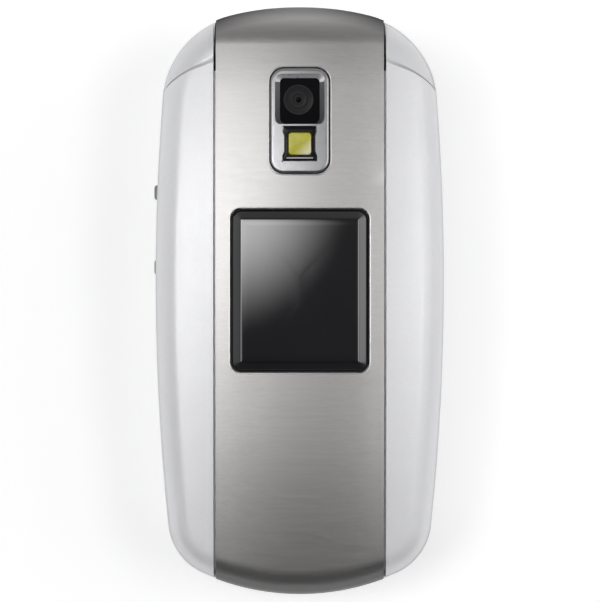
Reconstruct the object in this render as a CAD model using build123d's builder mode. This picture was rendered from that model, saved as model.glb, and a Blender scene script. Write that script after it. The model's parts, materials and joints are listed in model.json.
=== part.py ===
"""Clamshell mobile phone, closed and lying on its back.

Frame: X to the right, Y along the phone towards the hinge end, Z up through the closed lid,
with the origin under the middle of the phone on the plane of the back. Millimetres.
"""

import os
from math import cos, radians, sin, sqrt

from build123d import *

# Plan outline: two long side arcs and two end arcs, joined by rounded corners
LENGTH = 87.0
WIDTH = 42.9
SIDE_R = 349.0  # bow of the long sides
WAIST_Y = 3.0  # where the sides are furthest apart
TOP_R = 40.1  # end arc at the hinge
TOP_CORNER_R = 13.5
BOTTOM_R = 35.3  # end arc at the far end
BOTTOM_CORNER_R = 8.8

# Heights
BASE_TOP = 13.0  # face of the lower half
LID_GAP = 0.5  # held open by the rubber bumpers
CROWN_Z = 22.8  # highest line of the lid
SPLIT_Z = 7.2  # rear cover below, front cover above
COVER_Z = 5.0  # height of the battery cover's end wall

# Lid form
END_FALL = 4.96  # fall of the crown from its highest line to the far end
CROSS_R = 75.0  # crown across the phone
EDGE_R = 4.2  # rounding all round the lid's outer edge
BACK_EDGE_R = 5.5  # rounding all round the back
LID_INSET = 0.3  # the lid's outline inside that of the lower half
LID_WALL = 1.3
FRAME_T = 1.2  # inner cover of the lid

# Metal band down the middle of the lid
BAND_W = 24.8
BAND_T = 1.0
BAND_PROUD = 0.3
GROOVE = 0.35  # open joint beside the band

# Hinge
BARREL_R = 6.5  # round end of the lid about the hinge axis
END_TRIM = 0.08  # the plan outline cuts this far into the barrel's end
HINGE_Z = 14.0
SHOULDER_R = 5.6  # fixed knuckles of the lower half
SWEEP_GAP = 0.25  # between a fixed form and what turns past it
CAPSULE_R = 2.8
CAPSULE_L = 13.0
SHAFT_R = 1.5
RUN_FIT = 0.05  # radial running clearance of a pin in its hole

CAPSULE_CAP = 1.2  # ends of the capsule
CAPSULE_WALL = 0.6
CAM_T = 1.0
CAM_LIFT = 0.6  # height of the lobes that hold the lid open and shut
LOBE_W = 1.2
LOBE_TAPER = 30
FOLLOWER_T = 1.6
WIRE_R = 0.2
SPRING_TURNS = 4
BUSH_L = 3.0
PIN_GRIP = 2.6  # length of a pin inside its shoulder
PIN_FIT = 0.02  # radial clearance of a pin that is held fast
KEY_FLAT = 1.1  # flat on the shaft above its axis, which stops it turning
FLEX_T = 0.2
FLEX_SIDE = 0.3

# Walls and clearances of the lower half
WALL = 1.4
PLATE_T = 1.5  # keypad face of the front cover
COVER_T = 1.1  # battery cover
FIT = 0.1  # between pieces that are fixed together
SLIDE_FIT = 0.15  # between the battery cover and its rails
KEY_GAP = 0.25  # round each key

# Worked out from the above
LID_BOTTOM = BASE_TOP + LID_GAP
SHELL_BOTTOM = LID_BOTTOM + FRAME_T
HINGE_Y = LENGTH / 2 - BARREL_R - BAND_PROUD + END_TRIM
BARREL_FALL = CROWN_Z - HINGE_Z - BARREL_R  # fall of the crown to the top of the barrel
CROWN_R = ((HINGE_Y + LENGTH / 2) / (sqrt(BARREL_FALL) + sqrt(END_FALL))) ** 2 / 2  # crown along the phone
CROWN_Y = HINGE_Y - sqrt((CROWN_R - BARREL_R) ** 2 - (CROWN_Z - CROWN_R - HINGE_Z) ** 2)
BAND_X = BAND_W / 2
SHOULDER_X = BAND_X + GROOVE
FLOOR = BAND_PROUD - BAND_T  # channel floor under the band, as an offset of the lid's form
RECESS_R = BARREL_R + BAND_PROUD + SWEEP_GAP
HOLLOW_Y = HINGE_Y - RECESS_R - LID_WALL  # end of the lid's hollow, before the barrel

FLOOR_T = 0.8  # between the battery bay and the main board
SWING_END = 245.0  # direction from the hinge axis that bounds the open lid, from -Y over +Z
SIDE_SCREW_X = WIDTH / 2 - 5.25
END_SCREW_X = 9.0
UPPER_SCREW_Y = HINGE_Y - 10.28
LOWER_SCREW_Y = 6.1 - LENGTH / 2
BASE_SCREWS = [(side * SIDE_SCREW_X, UPPER_SCREW_Y) for side in (-1, 1)]
BASE_SCREWS += [(side * END_SCREW_X, LOWER_SCREW_Y) for side in (-1, 1)]
BASE_BOSS_R = 2.0
BASE_HEAD_Z = 2.0

# Battery, its cover and its bay
BATTERY_SIDE = 5.95  # between the battery and the phone's side
BATTERY_FOOT = 10.5  # between the battery and the phone's far end
BATTERY_END = HINGE_Y - 27.78  # end of the battery nearer the hinge
BATTERY_W = WIDTH - 2 * BATTERY_SIDE
BATTERY_L = LENGTH / 2 - BATTERY_FOOT + BATTERY_END
BATTERY_T = 4.7
BATTERY_Y = BATTERY_END - BATTERY_L / 2
BAY_GAP = 0.3
COVER_X = WIDTH / 2 - 3.45
COVER_Y = BATTERY_END + 4.0
RIB_GAP = 0.4
RIB_T = 0.7
LIP_W = 0.6
LIP_Z = 2.2
LIP_T = 0.6
RAIL_Y0 = 13.5 - LENGTH / 2
SIM_W = 25.0
SIM_L = 15.0
SIM_T = 0.4
SIM_Y = BATTERY_Y - 8.0
CONTACT_X = 8.0
CONTACT_W = 8.0
CONTACT_D = 2.2
CONTACT_Z = 2.5
CONTACT_H = 3.0

# Keypad: x, y, width, length and corner radius of each key
COLUMN = WIDTH / 2 - 9.25
ROW = 8.2
ROW_Y = 14.5 - LENGTH / 2  # lowest row
KEY_SPACE = 1.6  # between keys of a row
KEY_W = COLUMN - KEY_SPACE
KEY_L = 6.3
KEY_TRAVEL = 0.3
KEY_PROUD = 0.2
SIDE_X = COLUMN + 2.0
SIDE_W = 7.6
SIDE_L = 6.4
SIDE_R0 = 2.0
NAV_Y = HINGE_Y - 20.28
NAV_R = SIDE_X - SIDE_W / 2 - 2.4
OK_R = 3.3
SEND_Y = NAV_Y - 6.9
SOFT_Y = NAV_Y + 4.3
CLEAR_Y = NAV_Y - 11.9
KEYS = {
    f"key_{name}": (COLUMN * (i % 3 - 1), ROW_Y + ROW * (3 - i // 3), KEY_W, KEY_L, 1.2)
    for i, name in enumerate(("1", "2", "3", "4", "5", "6", "7", "8", "9", "star", "0", "hash"))
}
KEYS["key_clear"] = (0.0, CLEAR_Y, 8.0, 3.6, 1.2)
KEYS["key_send"] = (-SIDE_X, SEND_Y, SIDE_W, SIDE_L, SIDE_R0)
KEYS["key_end"] = (SIDE_X, SEND_Y, SIDE_W, SIDE_L, SIDE_R0)
KEYS["key_soft_left"] = (-SIDE_X, SOFT_Y, SIDE_W, SIDE_L, SIDE_R0)
KEYS["key_soft_right"] = (SIDE_X, SOFT_Y, SIDE_W, SIDE_L, SIDE_R0)

FLANGE_W = 1.0  # wider than the cap, both sides together
KEY_EDGE_R = 0.3
CARRIER_T = 0.2
NAV_GAP = 0.3

# Boards and what they carry
BOARD_X = WIDTH / 2 - 2.85
BOARD_Y0 = 5.5 - LENGTH / 2
CAN_W = 26.0
CAN_L = 34.0
CAN_T = 0.9
CAN_WALL = 0.2
CAN_Y = -8.0
DOME_SHEET_T = 0.15
DOME_R = 2.5
DOME_H = 0.25
MAT_W = 2 * BOARD_X - 3.2
MAT_Y0 = 10.0 - LENGTH / 2
MAT_Y1 = HINGE_Y - 12.28
MAT_L = MAT_Y1 - MAT_Y0
MAT_Y = (MAT_Y0 + MAT_Y1) / 2
MAT_T = 0.6
NUB_R = 1.2
NUB_H = 0.25
SPEAKER_R = 6.5
SPEAKER_T = 3.4
ANTENNA_L = 10.6
ANTENNA_R = 1.6
ANTENNA_WALL = 0.8
MOTOR_X = 6.0
MOTOR_Y = BATTERY_END + 5.1
MOTOR_R = 2.0
MOTOR_L = 8.0
MIC_R = 1.6
SOCKET_D = 7.0
CONTACT_PITCH = 2.4
BASE_SCREW_L = 7.5

# Microphone, accessory socket, loudspeaker and volume rocker
MIC_X = 8.85 - WIDTH / 2
MIC_Y = 8.1 - LENGTH / 2
MIC_HOLE_R = 0.6
SOCKET_W = 10.5
SOCKET_T = 2.2
SOCKET_Z = 9.1
SOCKET_Y = 9.0 - LENGTH / 2
SPEAKER_X = 13.45 - WIDTH / 2
SPEAKER_Y = HINGE_Y - 15.78
ANTENNA_X0 = SPEAKER_X + SPEAKER_R + 3.5
ANTENNA_X1 = SIDE_SCREW_X - BASE_BOSS_R - 0.2
ANTENNA_W = ANTENNA_X1 - ANTENNA_X0
ANTENNA_X = (ANTENNA_X0 + ANTENNA_X1) / 2
ANTENNA_Y = SPEAKER_Y + 1.0
ROCKER_L = 13.3
ROCKER_Y = HINGE_Y - 26.23
ROCKER_Z = 8.4
ROCKER_T = 2.6
ROCKER_DEPTH = 1.9
NUB_L = 2.2
NUB_PROUD = 0.2
NUB_ROOT = 0.6
SWITCH_GAP = 0.55
SWITCH_T = 1.2
SWITCH_D = 1.8

# Sub-display window, camera and flash on the lid's outside
WINDOW_W = 20.35
WINDOW_L = 24.0
WINDOW_Y = HINGE_Y - 35.28
WINDOW_R = 1.2
WINDOW_BEVEL = 0.35
WINDOW_LEDGE = 1.4  # width of the seat round the opening
WINDOW_PROUD = 0.15  # above the band
BEZEL_W = 8.8
BEZEL_L = 15.6
BEZEL_Y = HINGE_Y - 10.28
BEZEL_R = 2.05
BEZEL_PROUD = 0.3
CAMERA_W = 5.9
CAMERA_L = 6.8
CAMERA_Y = BEZEL_Y + 2.9
CAMERA_LENS_R = 2.3
CAMERA_DEPTH = 0.7  # of the window below the bezel's face
FLASH_W = 4.9
FLASH_L = 5.1
FLASH_Y = BEZEL_Y - 3.4
LED_W = 3.5
LED_L = 3.4
GLUE = 0.05  # thickness of an adhesive joint

# Inside face and inside of the lid
SCREEN_W = WIDTH - 9.9
SCREEN_L = 44.0
SCREEN_Y = WINDOW_Y - 8.5
SCREEN_R = 2.0
SCREEN_T = 1.0
DISPLAY_T = 2.3
BOARD_T = 0.8
SUBDISPLAY_T = 1.7
EARPIECE_Y = HINGE_Y - 16.78
EARPIECE_R = 4.4
EARPIECE_T = 2.0
LID_SCREW_X = WIDTH / 2 - 5.85
LID_SCREW_YS = (12.5 - LENGTH / 2, HINGE_Y - 15.78)
SCREW_R = 0.8
BUMPER_R = 1.3
MAGNET = (8.0, 4.0, 1.6)
MAGNET_Y = 10.5 - LENGTH / 2
HEAD_R = 1.3
HEAD_T = 0.4
LID_SCREW_L = 2.4
BOSS_R = 2.0
BOSS_L = 4.0
DISPLAY_MARGIN = 1.5
LID_BOARD_W = 26.0
LID_BOARD_L = 47.0
LID_BOARD_Y = HINGE_Y - 36.78
MESH_DEPTH = 0.4
MESH_PITCH = 0.6

GLASS_T = 0.6
LENS_R = 1.1
CAMERA_BODY_T = 2.2
FLASH_DEPTH = 0.35
LED_T = 1.0
RIM_R = 0.5  # rounding of the lid's inner rim
SLOT_L = 8.0  # sound slot of the earpiece
SLOT_W = 1.4
CAP_R = 1.5  # rubber caps over the lid's screws
CAP_T = 0.4
BUMPER_X = WIDTH / 2 - 9.45
BUMPER_Y = 5.0 - LENGTH / 2
FLEX_X0 = 2.5
FLEX_X1 = 8.5
FLEX_Z0 = 1.2  # slot for the flexible cable, above the hinge axis
FLEX_Z1 = 2.2
BAND_END_Z = 11.5  # where the band stops under the barrel

BLOCK = 100.0  # larger than the phone, for cutting


def corner(end_centre, end_r, inset):
    """Point on the right where the side arc and an end arc would cross."""
    side = Vector(WIDTH / 2 - SIDE_R, WAIST_Y)
    end = Vector(0, end_centre)
    side_r = SIDE_R - inset
    gap = (end - side).length
    along = (side_r**2 - (end_r - inset) ** 2 + gap**2) / (2 * gap)
    towards = (end - side).normalized()
    across = Vector(-towards.Y, towards.X) * sqrt(side_r**2 - along**2)
    if (end_centre > 0) != (across.Y > 0):
        across = across * -1
    return side + towards * along + across


def outline(height, inset=0.0):
    """Plan outline of the phone, moved in by inset, as a sketch at a height."""
    top = corner(LENGTH / 2 - TOP_R, TOP_R, inset)
    bottom = corner(BOTTOM_R - LENGTH / 2, BOTTOM_R, inset)
    side_x = WIDTH / 2 - inset
    end_y = LENGTH / 2 - inset
    with BuildSketch(Plane.XY.offset(height), mode=Mode.PRIVATE) as plan:
        with BuildLine():
            ThreePointArc((-top.X, top.Y), (0, end_y), (top.X, top.Y))
            ThreePointArc((top.X, top.Y), (side_x, WAIST_Y), (bottom.X, bottom.Y))
            ThreePointArc((bottom.X, bottom.Y), (0, -end_y), (-bottom.X, bottom.Y))
            ThreePointArc((-bottom.X, bottom.Y), (-side_x, WAIST_Y), (-top.X, top.Y))
        make_face()
        fillet(plan.vertices().group_by(Axis.Y)[-1], TOP_CORNER_R - inset)
        fillet(plan.vertices().group_by(Axis.Y)[0], BOTTOM_CORNER_R - inset)
    return plan.sketch


def block(x0, x1, y0, y1, z0, z1):
    """Plain box between limits, for cutting and keeping."""
    middle = Pos((x0 + x1) / 2, (y0 + y1) / 2, (z0 + z1) / 2)
    return middle * Box(x1 - x0, y1 - y0, z1 - z0, mode=Mode.PRIVATE)


def rod(radius, x0, x1, y=HINGE_Y, z=HINGE_Z):
    """Cylinder along X, on the hinge axis unless placed elsewhere."""
    return Pos((x0 + x1) / 2, y, z) * Rot(0, 90, 0) * Cylinder(radius, x1 - x0, mode=Mode.PRIVATE)


def plate(width, height, z0, z1, y=0.0, x=0.0, radius=0.0):
    """Rounded rectangle with its flat faces at z0 and z1."""
    with BuildPart(mode=Mode.PRIVATE) as piece:
        with BuildSketch(Plane((x, y, z0))):
            if radius:
                RectangleRounded(width, height, radius)
            else:
                Rectangle(width, height)
        extrude(amount=z1 - z0)
    return piece.part


def crown(offset, barrel=False):
    """Everything under the doubly curved crown: an arc along the phone turned about a lower line.

    With barrel, the end runs on round the hinge axis."""
    turn_z = CROWN_Z - CROSS_R
    with BuildPart(mode=Mode.PRIVATE) as under:
        with BuildSketch(Plane.YZ) as side:
            with Locations((CROWN_Y, CROWN_Z - CROWN_R)):
                Circle(CROWN_R + offset)
            with Locations((HINGE_Y - BLOCK if barrel else 0, turn_z + BLOCK / 2)):
                Rectangle(2 * BLOCK, BLOCK, mode=Mode.INTERSECT)
            if barrel:
                with Locations((HINGE_Y + BLOCK / 2, turn_z + BLOCK / 2)):
                    Rectangle(BLOCK, BLOCK, mode=Mode.SUBTRACT)
                with Locations((HINGE_Y, HINGE_Z)):
                    Circle(BARREL_R + offset)
        revolve(axis=Axis((0, 0, turn_z), (0, 1, 0)))
    return under.part.rotate(Axis((0, 0, turn_z), (0, 1, 0)), 180)


def lid_form(offset, height):
    """Lid's outer form above a height, with its edge rounded all round, grown by offset."""
    with BuildPart(mode=Mode.PRIVATE) as form:
        with BuildSketch(Plane.XY.offset(height)):
            add(outline(height, LID_INSET - offset))
        extrude(amount=BLOCK)
        add(crown(offset), mode=Mode.INTERSECT)
        top = form.faces().sort_by(Axis.Z)[-1]
        fillet(top.edges(), EDGE_R + offset)
    return form.part


def strip(offset, half_width):
    """Middle strip of the lid's form, grown by offset: edged at the far end, round about the hinge."""
    with BuildPart(mode=Mode.PRIVATE) as form:
        add(lid_form(offset, SHELL_BOTTOM) & block(-BLOCK, BLOCK, -BLOCK, HOLLOW_Y, 0, BLOCK))
        add(crown(offset, barrel=True) & block(-BLOCK, BLOCK, HOLLOW_Y, BLOCK, SHELL_BOTTOM, BLOCK))
        add(rod(BARREL_R + offset, -BLOCK, BLOCK) & block(-BLOCK, BLOCK, 0, BLOCK, 0, SHELL_BOTTOM))
        add(block(-half_width, half_width, -BLOCK, BLOCK, 0, BLOCK), mode=Mode.INTERSECT)
        with BuildSketch(Plane.XY):
            add(outline(0, LID_INSET - offset))
        extrude(amount=BLOCK, mode=Mode.INTERSECT)
    return form.part


def beside_barrel(radius):
    """Space left and right of the barrel that the lid keeps clear for the shoulders."""
    space = rod(radius, -BLOCK, BLOCK) + block(-BLOCK, BLOCK, HINGE_Y, BLOCK, 0, BLOCK)
    return space - block(-BAND_X, BAND_X, -BLOCK, BLOCK, 0, BLOCK)


def crown_height(y, offset=0.0):
    """Height of the crown on the phone's centre line."""
    return CROWN_Z - CROWN_R + sqrt((CROWN_R + offset) ** 2 - (y - CROWN_Y) ** 2)


def crown_plate(width, length, y, radius, top, bottom):
    """Rounded plate whose faces follow the crown, at two offsets of it."""
    with BuildPart(mode=Mode.PRIVATE) as piece:
        add(plate(width, length, SHELL_BOTTOM, CROWN_Z + BEZEL_PROUD + 1, y, 0, radius))
        add(crown(top), mode=Mode.INTERSECT)
        add(crown(bottom), mode=Mode.SUBTRACT)
    return piece.part


# ---------------------------------------------------------------- lid, outside

CHANNEL = FLOOR - GLUE
BENEATH = CHANNEL - LID_WALL
WING_X = SHOULDER_X + LID_WALL

with BuildPart() as lid_outer_shell:
    add(lid_form(0, SHELL_BOTTOM))
    add(block(-SHOULDER_X, SHOULDER_X, -BLOCK, BLOCK, 0, BLOCK), mode=Mode.SUBTRACT)
    add(strip(CHANNEL, SHOULDER_X))
    add(beside_barrel(SHOULDER_R + SWEEP_GAP), mode=Mode.SUBTRACT)
    hollow = lid_form(-LID_WALL, SHELL_BOTTOM) - block(-WING_X, WING_X, -BLOCK, BLOCK, 0, BLOCK)
    hollow = hollow + (lid_form(BENEATH, SHELL_BOTTOM) & block(-WING_X, WING_X, -BLOCK, BLOCK, 0, BLOCK))
    add(hollow & block(-BLOCK, BLOCK, -BLOCK, HOLLOW_Y, 0, BLOCK), mode=Mode.SUBTRACT)
    for x in (-LID_SCREW_X, LID_SCREW_X):
        for y in LID_SCREW_YS:
            column = Pos(x, y, SHELL_BOTTOM + BOSS_L / 2) * Cylinder(BOSS_R, BOSS_L, mode=Mode.PRIVATE)
            add(column & lid_form(0, SHELL_BOTTOM))
            with Locations((x, y, SHELL_BOTTOM)):
                Cylinder(SCREW_R, 2 * LID_SCREW_L, mode=Mode.SUBTRACT)
    window_hole = (WINDOW_W - 2 * WINDOW_LEDGE, WINDOW_L - 2 * WINDOW_LEDGE)
    add(plate(*window_hole, SHELL_BOTTOM, BLOCK, WINDOW_Y), mode=Mode.SUBTRACT)
    camera_room = (CAMERA_Y - CAMERA_L / 2 - FIT, CAMERA_Y + CAMERA_L / 2 - FIT)
    room_x = CAMERA_W / 2 + FIT
    add(block(-room_x, room_x, *camera_room, SHELL_BOTTOM + LID_WALL, BLOCK), mode=Mode.SUBTRACT)
    add(plate(LED_W + 2 * FIT, LED_L + 2 * FIT, SHELL_BOTTOM, BLOCK, FLASH_Y), mode=Mode.SUBTRACT)
    add(rod(CAPSULE_R + RUN_FIT, -BLOCK, BLOCK), mode=Mode.SUBTRACT)
    flex_slot = (HOLLOW_Y - 1, HINGE_Y)
    add(block(FLEX_X0, FLEX_X1, *flex_slot, HINGE_Z + FLEX_Z0, HINGE_Z + FLEX_Z1), mode=Mode.SUBTRACT)
lid_outer_shell.part.label = "lid_outer_shell"

with BuildPart() as lid_band:
    add(strip(BAND_PROUD, BAND_X))
    add(strip(FLOOR, BAND_X + 1), mode=Mode.SUBTRACT)
    add(block(-BLOCK, BLOCK, -BLOCK, BLOCK, 0, BAND_END_Z), mode=Mode.SUBTRACT)
    add(block(-BLOCK, BLOCK, 0, HINGE_Y, 0, SHELL_BOTTOM + 1), mode=Mode.SUBTRACT)
    window_seat = (WINDOW_W + 2 * FIT, WINDOW_L + 2 * FIT)
    add(plate(*window_seat, SHELL_BOTTOM, BLOCK, WINDOW_Y, 0, WINDOW_R + FIT), mode=Mode.SUBTRACT)
    bezel_seat = (BEZEL_W + 2 * FIT, BEZEL_L + 2 * FIT)
    add(plate(*bezel_seat, SHELL_BOTTOM, BLOCK, BEZEL_Y, 0, BEZEL_R + FIT), mode=Mode.SUBTRACT)
lid_band.part.label = "lid_band"

with BuildPart() as outer_window:
    add(crown_plate(WINDOW_W, WINDOW_L, WINDOW_Y, WINDOW_R, BAND_PROUD + WINDOW_PROUD, FLOOR))
    rim = outer_window.faces().sort_by(Axis.Z)[-1]
    chamfer(rim.edges(), WINDOW_BEVEL)
outer_window.part.label = "outer_window"

with BuildPart() as camera_bezel:
    add(crown_plate(BEZEL_W, BEZEL_L, BEZEL_Y, BEZEL_R, BAND_PROUD + BEZEL_PROUD, FLOOR))
    add(plate(CAMERA_W, CAMERA_L, SHELL_BOTTOM, BLOCK, CAMERA_Y, 0, BEZEL_R / 2), mode=Mode.SUBTRACT)
    add(plate(FLASH_W, FLASH_L, SHELL_BOTTOM, BLOCK, FLASH_Y), mode=Mode.SUBTRACT)
    face = camera_bezel.faces().sort_by(Axis.Z)[-1]
    fillet(face.outer_wire().edges(), BEZEL_PROUD)
camera_bezel.part.label = "camera_bezel"


# ---------------------------------------------------------------- lid, windows and camera

LEVEL_CAMERA = crown_height(CAMERA_Y, BAND_PROUD + BEZEL_PROUD)
LEVEL_FLASH = crown_height(FLASH_Y, BAND_PROUD + BEZEL_PROUD)

with BuildPart() as camera_window:
    with BuildSketch(Plane.XY.offset(LEVEL_CAMERA - CAMERA_DEPTH)):
        with Locations((0, CAMERA_Y)):
            RectangleRounded(CAMERA_W - FIT, CAMERA_L - FIT, BEZEL_R / 2)
    extrude(amount=-GLASS_T)
camera_window.part.label = "camera_window"

CAMERA_TOP = LEVEL_CAMERA - CAMERA_DEPTH - GLASS_T - GLUE

with BuildPart() as camera_module:
    with BuildSketch(Plane.XY.offset(SHELL_BOTTOM + LID_WALL + FIT)):
        with Locations((0, CAMERA_Y)):
            RectangleRounded(CAMERA_W - 2 * FIT, CAMERA_W - 2 * FIT, 0.4)
    extrude(amount=CAMERA_BODY_T)
    with BuildSketch(Plane.XY.offset(SHELL_BOTTOM + LID_WALL + FIT)):
        with Locations((0, CAMERA_Y)):
            Circle(CAMERA_LENS_R)
    extrude(amount=CAMERA_TOP - SHELL_BOTTOM - LID_WALL - FIT)
    with Locations((0, CAMERA_Y, CAMERA_TOP)):
        CounterSinkHole(LENS_R / 2, LENS_R, depth=LENS_R, counter_sink_angle=100)
camera_module.part.label = "camera_module"

with BuildPart() as flash_frame:
    with BuildSketch(Plane.XY.offset(LEVEL_FLASH - FLASH_DEPTH)):
        with Locations((0, FLASH_Y)):
            Rectangle(FLASH_W - FIT, FLASH_L - FIT)
            Rectangle(LED_W, LED_L, mode=Mode.SUBTRACT)
    extrude(amount=-GLASS_T)
flash_frame.part.label = "flash_frame"

with BuildPart() as flash_led:
    with BuildSketch(Plane.XY.offset(LEVEL_FLASH - FLASH_DEPTH)):
        with Locations((0, FLASH_Y)):
            Rectangle(LED_W - FIT, LED_L - FIT)
    extrude(amount=-LED_T)
    fillet(flash_led.faces().sort_by(Axis.Z)[-1].edges(), 0.2)
flash_led.part.label = "flash_led"

# ---------------------------------------------------------------- lid, inside face

with BuildPart() as lid_inner_cover:
    with BuildSketch(Plane.XY.offset(LID_BOTTOM)):
        add(outline(LID_BOTTOM, LID_INSET))
    extrude(amount=FRAME_T - GLUE)
    fillet(lid_inner_cover.faces().sort_by(Axis.Z)[0].edges(), RIM_R)
    add(beside_barrel(SHOULDER_R + SWEEP_GAP), mode=Mode.SUBTRACT)
    add(rod(BARREL_R + FLOOR + FIT, -BLOCK, BLOCK), mode=Mode.SUBTRACT)
    add(block(-BLOCK, BLOCK, HINGE_Y, BLOCK, 0, BLOCK), mode=Mode.SUBTRACT)
    with BuildSketch(Plane.XY.offset(LID_BOTTOM)):
        with Locations((0, SCREEN_Y)):
            RectangleRounded(SCREEN_W + 2 * FIT, SCREEN_L + 2 * FIT, SCREEN_R + FIT)
    extrude(amount=FRAME_T, mode=Mode.SUBTRACT)
    with BuildSketch(Plane.XY.offset(LID_BOTTOM)):
        with Locations((0, EARPIECE_Y)):
            SlotOverall(SLOT_L, SLOT_W)
            SlotOverall(2 * EARPIECE_R, 2 * EARPIECE_R - FIT, mode=Mode.INTERSECT)
    extrude(amount=FRAME_T, mode=Mode.SUBTRACT)
    for screw_y in LID_SCREW_YS:
        with Locations((LID_SCREW_X, screw_y, LID_BOTTOM), (-LID_SCREW_X, screw_y, LID_BOTTOM)):
            Cylinder(CAP_R + FIT / 2, 2 * CAP_T, mode=Mode.SUBTRACT)
            Cylinder(SCREW_R + FIT / 2, 2 * FRAME_T, mode=Mode.SUBTRACT)
            Cylinder(HEAD_R + FIT / 2, 2 * (CAP_T + HEAD_T), mode=Mode.SUBTRACT)
    with Locations((BUMPER_X, BUMPER_Y, LID_BOTTOM), (-BUMPER_X, BUMPER_Y, LID_BOTTOM)):
        Cylinder(BUMPER_R + FIT / 2, 2 * CAP_T, mode=Mode.SUBTRACT)
lid_inner_cover.part.label = "lid_inner_cover"

main_window = BuildPart()
with main_window:
    add(plate(SCREEN_W, SCREEN_L, LID_BOTTOM + GLUE, LID_BOTTOM + GLUE + SCREEN_T, SCREEN_Y, 0, SCREEN_R))
main_window.part.label = "main_window"

# ---------------------------------------------------------------- lid, inside

DISPLAY_Z = LID_BOTTOM + GLUE + SCREEN_T + GLUE
BOARD_Z = DISPLAY_Z + DISPLAY_T + GLUE
SUBDISPLAY_Z = BOARD_Z + BOARD_T + GLUE
corners = [(sx * LID_SCREW_X, y) for sx in (-1, 1) for y in LID_SCREW_YS]

with BuildPart() as main_display:
    add(plate(SCREEN_W - 2, SCREEN_L - 2, DISPLAY_Z, DISPLAY_Z + DISPLAY_T, SCREEN_Y, 0, 0.5))
    with BuildSketch(Plane.XY.offset(DISPLAY_Z)):
        with Locations((0, SCREEN_Y + DISPLAY_MARGIN / 2)):
            Rectangle(SCREEN_W - 2 - DISPLAY_MARGIN, SCREEN_L - 2 - 2 * DISPLAY_MARGIN)
    extrude(amount=GLUE, mode=Mode.SUBTRACT)
main_display.part.label = "main_display"

with BuildPart() as lid_board:
    with BuildSketch(Plane.XY.offset(BOARD_Z)):
        with Locations((0, LID_BOARD_Y)):
            RectangleRounded(LID_BOARD_W, LID_BOARD_L, 1)
    extrude(amount=BOARD_T)
    with BuildSketch(Plane.XY.offset(BOARD_Z)):
        with Locations((0, EARPIECE_Y)):
            Circle(EARPIECE_R / 2)
    extrude(amount=BOARD_T, mode=Mode.SUBTRACT)
lid_board.part.label = "lid_board"

with BuildPart() as outer_display:
    subdisplay = (WINDOW_W - 2 * WINDOW_LEDGE - 1, WINDOW_L - 2 * WINDOW_LEDGE - 1)
    add(plate(*subdisplay, SUBDISPLAY_Z, SUBDISPLAY_Z + SUBDISPLAY_T, WINDOW_Y, 0, 0.5))
outer_display.part.label = "outer_display"

with BuildPart() as earpiece:
    with BuildSketch(Plane.XY.offset(SHELL_BOTTOM)):
        with Locations((0, EARPIECE_Y)):
            Circle(EARPIECE_R)
    extrude(amount=EARPIECE_T)
    fillet(earpiece.faces().sort_by(Axis.Z)[-1].edges(), 0.4)
    with BuildSketch(Plane.XY.offset(SHELL_BOTTOM)):
        with Locations((0, EARPIECE_Y)):
            Circle(EARPIECE_R - 1)
    extrude(amount=EARPIECE_T / 4, mode=Mode.SUBTRACT)
earpiece.part.label = "earpiece"

with BuildPart() as earpiece_mesh:
    with BuildSketch(Plane.XY.offset(LID_BOTTOM + MESH_DEPTH)):
        with Locations((0, EARPIECE_Y)):
            SlotOverall(SLOT_L - FIT, SLOT_W - FIT)
            with GridLocations(MESH_PITCH, MESH_PITCH, 7, 2):
                Circle(MESH_PITCH / 4, mode=Mode.SUBTRACT)
    extrude(amount=MESH_DEPTH)
earpiece_mesh.part.label = "earpiece_mesh"

with BuildPart() as lid_magnet:
    with Locations((0, MAGNET_Y, SHELL_BOTTOM + MAGNET[2] / 2)):
        Box(*MAGNET)
    chamfer(lid_magnet.edges().filter_by(Axis.Z), 0.3)
lid_magnet.part.label = "lid_magnet"

with BuildPart() as lid_bumpers:  # and the caps over the screws
    with Locations((BUMPER_X, BUMPER_Y), (-BUMPER_X, BUMPER_Y)):
        with Locations((0, 0, BASE_TOP + GLUE)):
            Cylinder(BUMPER_R, LID_GAP + CAP_T - 2 * GLUE, align=(Align.CENTER, Align.CENTER, Align.MIN))
    fillet(lid_bumpers.edges().filter_by(GeomType.CIRCLE).group_by(Axis.Z)[0], 0.2)
    for x, y in corners:
        with Locations((x, y, LID_BOTTOM + GLUE)):
            Cylinder(CAP_R, CAP_T - GLUE, align=(Align.CENTER, Align.CENTER, Align.MIN))
lid_bumpers.part.label = "lid_bumpers"

with BuildPart() as lid_screws:
    for x, y in corners:
        with Locations((x, y, LID_BOTTOM + CAP_T)):
            Cylinder(HEAD_R, HEAD_T, align=(Align.CENTER, Align.CENTER, Align.MIN))
        with Locations((x, y, LID_BOTTOM + CAP_T + HEAD_T)):
            Cylinder(SCREW_R, LID_SCREW_L, align=(Align.CENTER, Align.CENTER, Align.MIN))
lid_screws.part.label = "lid_screws"

# ---------------------------------------------------------------- hinge

CAPSULE_X = -BAND_X + RUN_FIT
CHAMBER_X = CAPSULE_X + CAPSULE_CAP
CHAMBER_R = CAPSULE_R - CAPSULE_WALL
CAM_X = CHAMBER_X + RUN_FIT
FOLLOWER_X = CAM_X + CAM_T + CAM_LIFT + RUN_FIT
SPRING_X = FOLLOWER_X + FOLLOWER_T + RUN_FIT
SPRING_END = CAPSULE_X + CAPSULE_L - CAPSULE_CAP
PIN_END = SHOULDER_X + PIN_GRIP

with BuildPart() as hinge_capsule:
    add(rod(CAPSULE_R, CAPSULE_X, CAPSULE_X + CAPSULE_L))
    add(rod(CHAMBER_R, CHAMBER_X, SPRING_END), mode=Mode.SUBTRACT)
    add(rod(SHAFT_R + RUN_FIT, CAPSULE_X, CHAMBER_X), mode=Mode.SUBTRACT)
hinge_capsule.part.label = "hinge_capsule"


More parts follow.
